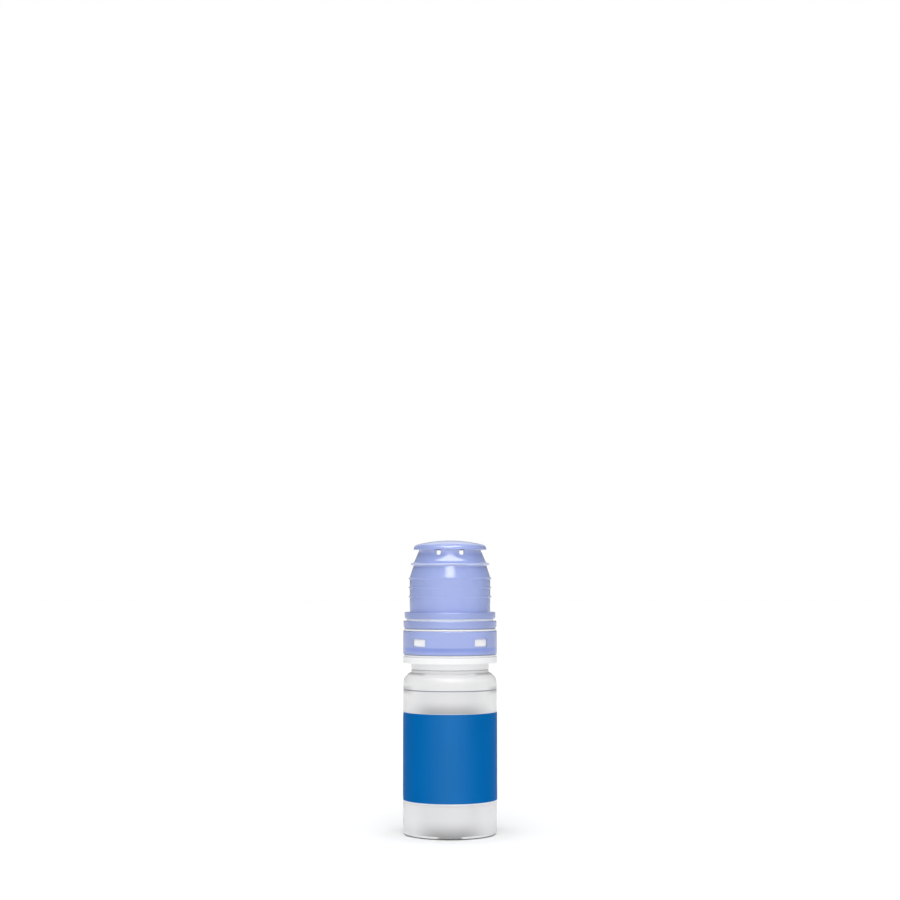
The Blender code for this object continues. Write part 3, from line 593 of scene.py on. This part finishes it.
def rest_ring():
    """Thin white ring of the collar in the slit between the band and the cap's rim."""
    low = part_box("tamper_band")[0].z + BAND_HEIGHT + REST_RING_LIFT
    high = low + REST_RING_HEIGHT
    outline = []
    for x, z in box_outline(0, 2 * REST_RING_OUTER_RADIUS, low, high, REST_RING_ROUNDING):
        if x > 0:
            outline.append(Vector((x, z)))
    outline = [Vector((LUG_INNER_RADIUS, low))] + outline + [Vector((LUG_INNER_RADIUS, high))]
    return shape_of(turned("rest_ring", outline, True, None))


def vent_hole():
    """The hole that lets air through the dispenser insert into the bottle."""
    shape = bmesh.new()
    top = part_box("dispenser_insert")[1].z
    bmesh.ops.create_cone(
        shape,
        cap_ends=True,
        segments=VENT_HOLE_SIDES,
        radius1=VENT_HOLE_RADIUS,
        radius2=VENT_HOLE_RADIUS,
        depth=VENT_HOLE_LENGTH,
    )
    bmesh.ops.translate(shape, verts=shape.verts, vec=(0, VENT_HOLE_OFFSET, top - VENT_HOLE_DROP))
    return shape


def returned(
    node, material, facets=FINE_FACETS, cut=None, join=(), form=None, fine=None, roundings=()
):
    """A fine copy of a turned CAD node, in its place and on its body, with its cuts and joined-on bits.

    fine holds the heights between which it has short faces, and form changes its shape before the cuts.
    """
    points, closed = section(node)
    outline = softened(points, closed, roundings)
    if fine:
        outline = divided(outline, closed, *fine)
    piece = turned(f"{node}_shell", outline, closed, material, facets)
    if form:
        form(piece)
    if cut:
        carve(piece, cut, "DIFFERENCE")
    for shape in join:
        carve(piece, shape, "UNION")
    return stand_for(piece, node)


def label_columns(length):
    """Places along the label, close together at its rounded ends."""
    corner = []
    for step in range(LABEL_CORNER_STEPS):
        corner.append(LABEL_ROUNDING * (1 - math.cos(math.pi / 2 * step / LABEL_CORNER_STEPS)))
    straight = []
    for step in range(LABEL_COLUMNS + 1):
        straight.append(LABEL_ROUNDING + (length - 2 * LABEL_ROUNDING) * step / LABEL_COLUMNS)
    return corner + straight + [length - place for place in reversed(corner)]


def inside_label(inward, rise, height):
    """How far a point of the label is from the label's edge."""
    across = LABEL_ROUNDING - inward
    along = LABEL_ROUNDING - min(rise, height - rise)
    beyond = math.hypot(max(across, 0), max(along, 0)) + min(max(across, along), 0)
    return LABEL_ROUNDING - beyond


def label_sheet(material):
    """Film label as one curved sheet with rounded corners. Each point knows how far it is from the edge."""
    low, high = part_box("label")
    outer = high.x
    length = (math.tau - LABEL_SEAM_WIDTH / outer) * outer
    height = high.z - low.z
    columns = label_columns(length)
    shape = bmesh.new()
    edge_layer = shape.verts.layers.float.new("from_edge")
    sides = []
    for radius in (outer - LABEL_THICKNESS, outer):
        grid = []
        for place in columns:
            inward = min(place, length - place)
            into = max(LABEL_ROUNDING - inward, 0)
            pulled = LABEL_ROUNDING - math.sqrt(LABEL_ROUNDING**2 - into**2)
            angle = math.radians(LABEL_START_DEGREES) + place / outer
            column = []
            for share in LABEL_ROWS:
                rise = pulled + (height - 2 * pulled) * share
                spot = (radius * math.cos(angle), radius * math.sin(angle), low.z + rise)
                vert = shape.verts.new(spot)
                vert[edge_layer] = inside_label(inward, rise, height)
                column.append(vert)
            grid.append(column)
        sides.append(grid)
    under, over = sides
    for one, other in zip(range(len(columns) - 1), range(1, len(columns))):
        for row in range(len(LABEL_ROWS) - 1):
            for grid in sides:
                shape.faces.new((grid[one][row], grid[other][row], grid[other][row + 1], grid[one][row + 1]))
        for row in (0, -1):
            shape.faces.new((under[one][row], under[other][row], over[other][row], over[one][row]))
    for end in (0, -1):
        for row in range(len(LABEL_ROWS) - 1):
            shape.faces.new((under[end][row], under[end][row + 1], over[end][row + 1], over[end][row]))
    bmesh.ops.recalc_face_normals(shape, faces=shape.faces)
    return stand_for(add_piece("label_sheet", shape, material), "label")


def coil(material):
    """Compression spring with closed ends, built at one length; the real spring shortens towards its foot as
    the valve opens.
    """
    steps = round(SPRING_TURNS * SPRING_STEPS_PER_TURN)
    low = SPRING_FOOT + SPRING_WIRE_RADIUS
    high = SPRING_TOP - SPRING_WIRE_RADIUS
    ramp = SPRING_CLOSED_TURNS / SPRING_TURNS
    pitch = 2 * SPRING_WIRE_RADIUS * SPRING_CLOSED_TURNS
    shape = bmesh.new()
    rings = []
    for step in range(steps + 1):
        share = step / steps
        if share < ramp:
            height = low + pitch * share / ramp
        elif share > 1 - ramp:
            height = high - pitch * (1 - share) / ramp
        else:
            height = low + pitch + (high - low - 2 * pitch) * (share - ramp) / (1 - 2 * ramp)
        turn = math.tau * SPRING_TURNS * share
        outward = Vector((math.cos(turn), math.sin(turn), 0))
        ring = []
        for side in range(SPRING_SIDES):
            angle = math.tau * side / SPRING_SIDES
            reach = SPRING_MEAN_RADIUS + SPRING_WIRE_RADIUS * math.cos(angle)
            spot = outward * reach
            spot.z = height + SPRING_WIRE_RADIUS * math.sin(angle)
            ring.append(shape.verts.new(spot))
        rings.append(ring)
    for one, other in zip(rings, rings[1:]):
        for side in range(SPRING_SIDES):
            ahead = (side + 1) % SPRING_SIDES
            shape.faces.new((one[side], one[ahead], other[ahead], other[side]))
    shape.faces.new(rings[0])
    shape.faces.new(rings[-1])
    bmesh.ops.recalc_face_normals(shape, faces=shape.faces)
    piece = stand_for(add_piece("return_spring_coil", shape, material), "return_spring")
    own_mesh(piece)


def stand_for(piece, node):
    """Puts a piece in a CAD node's place, on the node's body."""
    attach(piece, frame["nodes"][node]["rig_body"])
    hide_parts(node)
    return piece


# Materials

class Nodes:
    """Short calls that build one node tree."""

    def __init__(self, owner):
        owner.use_nodes = True
        self.owner = owner
        self.tree = owner.node_tree
        self.shader = self.tree.nodes.get("Principled BSDF")

    def add(self, kind, **sockets):
        node = self.tree.nodes.new(kind)
        for socket, value in sockets.items():
            self.put(node.inputs[socket.replace("_", " ")], value)
        return node

    def put(self, socket, value):
        if isinstance(value, bpy.types.NodeSocket):
            self.tree.links.new(value, socket)
        elif isinstance(value, tuple) and len(value) == 3 and socket.type == "RGBA":
            socket.default_value = (*value, 1)
        else:
            socket.default_value = value

    def math(self, operation, *values):
        node = self.tree.nodes.new("ShaderNodeMath")
        node.operation = operation
        for socket, value in zip(node.inputs, values):
            self.put(socket, value)
        return node.outputs[0]

    def vector(self, operation, *values):
        node = self.tree.nodes.new("ShaderNodeVectorMath")
        node.operation = operation
        for socket, value in zip(node.inputs, values):
            self.put(socket, value)
        return node.outputs["Value" if operation == "LENGTH" else "Vector"]

    def place(self):
        return self.add("ShaderNodeTexCoord").outputs["Object"]

    def spot(self):
        """Measures of a place on the object.

        They are its height, its distance from the axis, its distance from the middle plane, which cuts the
        front in half, and the last as a share of the second.
        """
        place = self.place()
        parts = self.add("ShaderNodeSeparateXYZ", Vector=place).outputs
        radius = self.vector("LENGTH", self.vector("MULTIPLY", place, (1, 1, 0)))
        across = self.math("ABSOLUTE", parts["X"])
        aside = self.math("DIVIDE", across, self.math("MAXIMUM", radius, DISC_REACH))
        return {"height": parts["Z"], "radius": radius, "across": across, "aside": aside}

    def noise(self, scale, detail=2.0, stretch=(1, 1, 1)):
        place = self.vector("MULTIPLY", self.place(), stretch)
        return self.add("ShaderNodeTexNoise", Vector=place, Scale=scale, Detail=detail).outputs["Fac"]

    def ramp(self, value, start, end, low=0.0, high=1.0):
        """A smooth step of a value from low at start to high at end."""
        node = self.add("ShaderNodeMapRange", Value=value)
        node.interpolation_type = "SMOOTHSTEP"
        for socket, number in (("From Min", start), ("From Max", end), ("To Min", low), ("To Max", high)):
            node.inputs[socket].default_value = number
        return node.outputs["Result"]

    def zone(self, spot, level, steps):
        """The product of smooth steps along a spot's measures, with heights counted from a level."""
        share = None
        for measure, start, end, first, last in steps:
            base = level if measure == "height" else 0
            factor = self.ramp(spot[measure], base + start, base + end, first, last)
            share = factor if share is None else self.math("MULTIPLY", share, factor)
        return share

    def widest(self, spot, levels, zones):
        """The largest share that any zone of a table has."""
        share = None
        for level, steps in zones:
            here = self.zone(spot, levels[level], steps)
            share = here if share is None else self.math("MAXIMUM", share, here)
        return share

    def painted(self, colour, spot, levels, coats):
        """A colour under the coats of a table, each over the one before."""
        for level, steps, paint in coats:
            colour = self.mix(self.zone(spot, levels[level], steps), colour, paint)
        return colour

    def mix(self, share, first, second):
        """A blend of two colours. Its sockets are told by number, as others have the same names."""
        node = self.tree.nodes.new("ShaderNodeMix")
        node.data_type = "RGBA"
        self.put(node.inputs[0], share)
        self.put(node.inputs[6], first)
        self.put(node.inputs[7], second)
        return node.outputs[2]

    def shade(self, colour, amount):
        """A colour times a number that varies about one."""
        return self.vector("MULTIPLY", colour, amount)

    def bump(self, height, depth):
        node = self.add("ShaderNodeBump", Height=height, Distance=depth, Strength=1.0)
        self.put(self.shader.inputs["Normal"], node.outputs["Normal"])

    def set(self, **sockets):
        for socket, value in sockets.items():
            self.put(self.shader.inputs[socket.replace("_", " ")], value)
        return self.owner


def moulded(nodes, colour, roughness, mottle=0.03, grain=0.000004):
    """Moulded plastic: faint flow mottling in its colour, uneven gloss and a very fine grain."""
    flow = nodes.noise(scale=160.0, detail=3.0, stretch=(1, 1, 0.35))
    tone = nodes.ramp(flow, start=0.25, end=0.75, low=1 - mottle, high=1 + mottle / 2)
    nodes.put(nodes.shader.inputs["Base Color"], nodes.shade(colour, tone))
    patches = nodes.noise(scale=900.0, detail=3.0)
    gloss = nodes.ramp(patches, start=0.3, end=0.7, low=roughness - LESS_ROUGH, high=roughness + MORE_ROUGH)
    nodes.put(nodes.shader.inputs["Roughness"], gloss)
    nodes.bump(nodes.noise(scale=2600.0), grain)


def new_material(name):
    return Nodes(bpy.data.materials.new(name))


def layer(low, high, softness, share=1.0):
    """The two steps of a zone between two heights, with soft limits."""
    return (("height", low - softness, low, 0.0, share), ("height", high, high + softness, 1.0, 0.0))


# Zones of the colours. Each row has the level that its heights are counted from and the steps whose product
# is the zone's share: (measure, start, end, share before the start, share past the end). A coat's row ends
# with its colour.
NEAR_SURFACE = ("radius", 0.0115, 0.0118, 1.0, 0.0)
# Painted shade: the cap darker towards its sides as seen from the front and the back, most on its rims.
CAP_SIDE_SHADE = (
    ("top", (("aside", 0.4, 0.9, 0.0, 0.5),)),
    ("foot", (*layer(-0.0002, 0.0043, 0.0002), ("aside", 0.1, 0.85, 0.15, 1.0))),
)
# Painted light, standing for light through the thin plastic: it lifts the shade in the groove, on the rim's
# lower lip, under the disc and under the ledge.
CAP_PAINTED_LIGHT = (
    ("foot", (*layer(0.00196, 0.00254, 0.00003), NEAR_SURFACE)),
    ("foot", (*layer(-0.0002, 0.00006, 0.00003), NEAR_SURFACE)),
    ("top", (("height", -0.0037, -0.0026, 0.0, 0.4), ("height", -0.0024, -0.00235, 1.0, 0.0))),
    ("top", layer(-0.0065, -0.0061, 0.0003, share=0.45)),
)
BAND_COATS = (
    # Painted shade towards the band's sides.
    ("band", (("aside", 0.5, 0.95, 0.0, 0.7),), SIDE_SHADED_PERIWINKLE),
    ("band", (("height", 0.0016, 0.0019, 1.0, 0.0), ("height", 0.0, 0.0014, 0.1, 1.0)), DEEP_PERIWINKLE),
)
COLLAR_COATS = (
    # Painted light on the lugs and the rest ring, in the band's windows and slit.
    ("band", (("height", 0.0003, 0.001, 0.0, 1.0),), LIT_LUG_WHITE),
    # Painted shade: a soft grey line on the flange's upper edge, under the band.
    ("band", layer(-0.00068, -0.0006, 0.00006, share=0.6), GREY_SHADE),
)
OUTSIDE = ("radius", 0.0107, 0.011, 0.0, 1.0)
BOTTLE_COATS = (
    ("ring line", (("height", -0.0002, 0.0002, 0.0, 1.0),), BRIGHT_MILKY),
    # Painted light: the bottle lighter towards its sides as seen from the front and the back.
    ("base", (("across", 0.0055, 0.0115, 0.0, 1.0),), LIT_SIDE_MILKY),
    ("neck", (("height", -0.0001, 0.0002, 0.0, 1.0),), WHITE_PLASTIC),
    ("ring line", (*layer(0.0, 0.0002, 0.0014), ("across", 0.0088, 0.0114, 0.0, 0.75)), GREY_SHADE),
    ("neck", (*layer(-0.00025, 0.0001, 0.0002), ("across", 0.0055, 0.0075, 0.0, 0.6)), GREY_SHADE),
    ("ring line", layer(-0.0001, 0.0001, 0.00008), RING_LINE),
    ("label", (*layer(-0.001, 0.0002, 0.0032), ("across", 0.004, 0.0115, 1.0, 0.0)), LABEL_SHADE),
    (
        "base",
        (("height", -0.0015, 0.0051, 1.0, 0.0), OUTSIDE, ("across", 0.003, 0.0095, 1.0, 0.25)),
        BASE_SHADE,
    ),
    # Painted reflection: bright arcs on the rounded edge of the base.
    ("base", (*layer(0.0003, 0.0007, 0.00015), OUTSIDE, ("across", 0.0024, 0.0036, 0.1, 1.0)), REFLECTED_ARC_WHITE),
    ("base", (("height", 0.00012, 0.00026, 0.85, 0.0), OUTSIDE), BASE_SHADE),
)


def cap_plastic():
    """Periwinkle plastic, darker towards its sides and most on its rims by painted shade, and whitened by
    painted light in the groove, on the rim's lower lip and on the thin walls under the disc and the ledge.
    """
    nodes = new_material("cap_plastic")
    levels = {"foot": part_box("cap")[0].z, "top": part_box("cap")[1].z}
    spot = nodes.spot()
    colour = nodes.mix(nodes.widest(spot, levels, CAP_SIDE_SHADE), PERIWINKLE, SIDE_SHADED_PERIWINKLE)
    colour = nodes.mix(nodes.widest(spot, levels, CAP_PAINTED_LIGHT), colour, PAINTED_LIGHT_PERIWINKLE)
    moulded(nodes, colour, roughness=0.15)
    return nodes.set(
        Subsurface_Weight=0.3,
        Subsurface_Scale=0.0006,
        Subsurface_Radius=EVEN_SCATTER,
        Specular_IOR_Level=1.0,
        IOR=1.5,
    )


def band_plastic():
    """The same plastic on the tamper band, darker towards its sides by painted shade, and deeper where its
    lower bead is thick.
    """
    nodes = new_material("band_plastic")
    levels = {"band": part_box("tamper_band")[0].z}
    moulded(nodes, nodes.painted(PERIWINKLE, nodes.spot(), levels, BAND_COATS), roughness=0.22)
    return nodes.set(
        Subsurface_Weight=0.3,
        Subsurface_Scale=0.0004,
        Subsurface_Radius=EVEN_SCATTER,
        Specular_IOR_Level=1.0,
    )


def white_plastic():
    """White plastic, brightest on the lugs and the rest ring by painted light, with a soft line of painted
    shade on the flange's upper edge.
    """
    nodes = new_material("collar_plastic")
    levels = {"band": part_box("tamper_band")[0].z}
    colour = nodes.painted(WHITE_PLASTIC, nodes.spot(), levels, COLLAR_COATS)
    moulded(nodes, colour, roughness=0.33, mottle=0.015)
    return nodes.set(Subsurface_Weight=0.2, Subsurface_Scale=0.0006, Subsurface_Radius=EVEN_SCATTER)


def head_plastic():
    nodes = new_material("head_plastic")
    moulded(nodes, HEAD_WHITE, roughness=0.32, mottle=0.02)
    return nodes.set(Subsurface_Weight=0.3, Subsurface_Scale=0.001, Subsurface_Radius=EVEN_SCATTER)


def bottle_plastic():
    """Milky plastic, brighter above the ring line, lighter towards the sides by painted light, with painted
    shade above the label, at the ring line's ends, at the neck and at the base, and a painted reflection on
    the base's edge.
    """
    nodes = new_material("bottle_plastic")
    label_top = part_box("label")[1].z
    levels = {"base": 0, "label": label_top, "ring line": label_top + RING_LINE_RISE, "neck": BODY_TOP}
    colour = nodes.painted(MILKY, nodes.spot(), levels, BOTTLE_COATS)
    moulded(nodes, colour, roughness=0.2, mottle=0.012, grain=0.000002)
    return nodes.set(
        Subsurface_Weight=0.7,
        Subsurface_Scale=0.002,
        Subsurface_Radius=EVEN_SCATTER,
        IOR=1.45,
    )


def label_film():
    """Satin printed film, lighter in the middle by a painted highlight, with an unprinted pale edge and a
    faint grain.
    """
    nodes = new_material("label_film")
    spot = nodes.spot()
    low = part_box("label")[0].z
    from_edge = nodes.add("ShaderNodeAttribute")
    from_edge.attribute_name = "from_edge"
    margin = nodes.ramp(spot["height"], low + FOOT_MARGIN_FROM, low + FOOT_MARGIN_TO, FOOT_MARGIN, MARGIN)
    inward = nodes.math("SUBTRACT", from_edge.outputs["Fac"], margin)
    # Painted highlight: lighter blue in the label's middle.
    blue = nodes.mix(nodes.ramp(spot["across"], 0.0, LABEL_HIGHLIGHT_REACH), HIGHLIGHT_LABEL_BLUE, LABEL_BLUE)
    colour = nodes.mix(nodes.ramp(inward, 0.0, PRINT_SOFTNESS), LABEL_EDGE, blue)
    moulded(nodes, colour, roughness=0.34, mottle=0.05, grain=0.000001)
    return nodes.set(IOR=1.06)


def silicone():
    nodes = new_material("silicone")
    moulded(nodes, SILICONE, roughness=0.45, mottle=0.04)
    return nodes.set(Subsurface_Weight=0.4, Subsurface_Scale=0.0008, Subsurface_Radius=EVEN_SCATTER)


def membrane():
    """Porous sheet with a fibrous surface."""
    nodes = new_material("membrane")
    fibres = nodes.noise(scale=9000.0, detail=6.0, stretch=(1, 1, 0.2))
    tone = nodes.ramp(fibres, start=0.35, end=0.65, low=0.86, high=1.02)
    nodes.bump(fibres, depth=0.00002)
    return nodes.set(Base_Color=nodes.shade(MEMBRANE, tone), Roughness=0.9)


def spring_steel():
    """Drawn wire with fine marks along it."""
    nodes = new_material("spring_steel")
    marks = nodes.noise(scale=6000.0, detail=3.0, stretch=(1, 1, 6))
    tone = nodes.ramp(marks, start=0.3, end=0.7, low=0.85, high=1.05)
    nodes.bump(marks, depth=0.000004)
    return nodes.set(
        Base_Color=nodes.shade(STEEL, tone),
        Roughness=nodes.ramp(marks, start=0.3, end=0.7, low=0.29, high=0.38),
        Metallic=1.0,
    )


# Stage

def seen_white(nodes):
    """One for the camera's own rays, which meet a white background, and zero for light."""
    return nodes.add("ShaderNodeLightPath").outputs["Is Camera Ray"]


def make_world():
    """A dim white room with one long softbox above the front; the background itself is seen as white.

    Mirrored rays meet a stronger softbox, a dimmer room, and white straight behind the object.
    """
    world = bpy.data.worlds.new("studio")
    nodes = Nodes(world)
    generated = nodes.add("ShaderNodeTexCoord").outputs["Generated"]
    direction = nodes.add("ShaderNodeSeparateXYZ", Vector=generated)
    forward = direction.outputs["Y"]
    upward = direction.outputs["Z"]
    sideways = nodes.math("ABSOLUTE", direction.outputs["X"])
    mirrored = nodes.add("ShaderNodeLightPath").outputs["Is Glossy Ray"]

    rise = nodes.math("MAXIMUM", upward, LEAST_RISE)
    aside = nodes.math("DIVIDE", sideways, rise)
    ahead = nodes.math("DIVIDE", nodes.math("MULTIPLY", forward, -1.0), rise)
    tapered = nodes.math("MULTIPLY_ADD", ahead, SOFTBOX_TAPER, aside)
    side_edge = SOFTBOX_HALF_WIDTH + SOFTBOX_SIDE_SOFTNESS
    across = nodes.ramp(tapered, SOFTBOX_HALF_WIDTH, side_edge, 1.0, 0.0)
    shifted = nodes.math("MULTIPLY_ADD", mirrored, SOFTBOX_REAR - SOFTBOX_REAR_MIRRORED, ahead)
    rear_edge = nodes.ramp(shifted, SOFTBOX_REAR - SOFTBOX_REAR_SOFTNESS, SOFTBOX_REAR)
    front_edge = nodes.ramp(ahead, SOFTBOX_FRONT, SOFTBOX_FRONT + SOFTBOX_FRONT_SOFTNESS, 1.0, 0.0)
    softbox = nodes.math("MULTIPLY", across, nodes.math("MULTIPLY", rear_edge, front_edge))

    rear_light = nodes.ramp(mirrored, 0, 1, REAR_LIGHT, 0)
    rear = nodes.math("MULTIPLY", nodes.ramp(forward, REAR_FROM, REAR_FULL), rear_light)
    front_light = nodes.ramp(mirrored, 0, 1, FRONT_LIGHT, FRONT_MIRRORED)
    front = nodes.math("MULTIPLY", nodes.ramp(forward, FRONT_FROM, FRONT_FULL), front_light)
    dimming = nodes.ramp(sideways, SIDES_FROM, SIDES_FULL, 1.0, 1 - SIDE_DIMMING)
    sky = nodes.math("MULTIPLY", nodes.ramp(mirrored, 0, 1, SKY_LIGHT, SKY_MIRRORED), dimming)
    room = nodes.math("ADD", nodes.math("ADD", rear, front), sky)
    softbox_light = nodes.ramp(mirrored, 0, 1, SOFTBOX_LIGHT, SOFTBOX_MIRRORED)
    light = nodes.math("MULTIPLY_ADD", softbox, softbox_light, room)

    behind = nodes.math("MULTIPLY", mirrored, nodes.ramp(sideways, *MIRRORED_WHITE_SIDES, 1.0, 0.0))
    behind = nodes.math("MULTIPLY", behind, nodes.ramp(upward, *MIRRORED_WHITE_RISE))
    behind = nodes.math("MULTIPLY", behind, nodes.ramp(forward, *MIRRORED_WHITE_DEPTH))
    strength = nodes.add("ShaderNodeMapRange", Value=nodes.math("MAXIMUM", seen_white(nodes), behind))
    nodes.put(strength.inputs["To Min"], light)
    strength.inputs["To Max"].default_value = BACKGROUND_WHITE
    background = world.node_tree.nodes["Background"]
    background.inputs["Color"].default_value = (1, 1, 1, 1)
    nodes.put(background.inputs["Strength"], strength.outputs["Result"])
    bpy.context.scene.world = world


def make_floor():
    shape = bmesh.new()
    bmesh.ops.create_grid(shape, x_segments=1, y_segments=1, size=FLOOR_SIZE / 2)
    nodes = new_material("floor")
    nodes.set(Base_Color=FLOOR_PALE, Roughness=0.8, Specular_IOR_Level=0.1, Emission_Color=(1, 1, 1))
    # Painted contact shade: no glow near the bottle's foot, full glow beyond.
    glow = nodes.ramp(nodes.spot()["radius"], GLOW_START, GLOW_END, 0.0, FLOOR_GLOW)
    nodes.set(Emission_Strength=nodes.math("MULTIPLY", seen_white(nodes), glow))
    add_piece("floor", shape, nodes.owner)


def make_camera():
    camera = bpy.data.objects.new("camera", bpy.data.cameras.new("camera"))
    camera.data.lens = CAMERA_LENS
    camera.data.sensor_width = CAMERA_SENSOR
    camera.location = (0, -CAMERA_DISTANCE, CAMERA_HEIGHT)
    camera.rotation_euler.x = math.radians(90 + CAMERA_PITCH_DEGREES)
    bpy.context.scene.collection.objects.link(camera)
    bpy.context.scene.camera = camera


def main():
    make_camera()
    make_world()
    make_floor()
    cone_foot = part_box("cap")[1].z - SCOOP_FOOT
    cone = (cone_foot - SCOOP_STEP, cone_foot + SCOOP_HEIGHT + SCOOP_STEP)
    edges = ((LEDGE_RADIUS, LEDGE_TOP, LEDGE_ROUNDING), (FLANGE_RADIUS, FLANGE_TOP, FLANGE_ROUNDING))
    returned("cap", cap_plastic(), cut=vents(), form=shape_cap, fine=cone, roundings=edges)
    returned("tamper_band", band_plastic(), cut=windows(), join=[bridges()])
    returned("collar", white_plastic(), join=[lugs(), rest_ring()], form=close_skirt)
    returned("bottle", bottle_plastic())
    head = head_plastic()
    rubber = silicone()
    returned("dispenser_insert", head, INNER_FINE_FACETS, cut=vent_hole())
    for node in ("nozzle", "filter_clamp_ring", "valve_plunger"):
        returned(node, head, INNER_FINE_FACETS)
    for node in ("neck_gasket", "valve_tip", "plunger_seal"):
        returned(node, rubber, INNER_FINE_FACETS)
    returned("vent_filter", membrane(), INNER_FINE_FACETS)
    label_sheet(label_film())
    coil(spring_steel())
    bpy.context.scene.view_settings.view_transform = "Standard"


main()
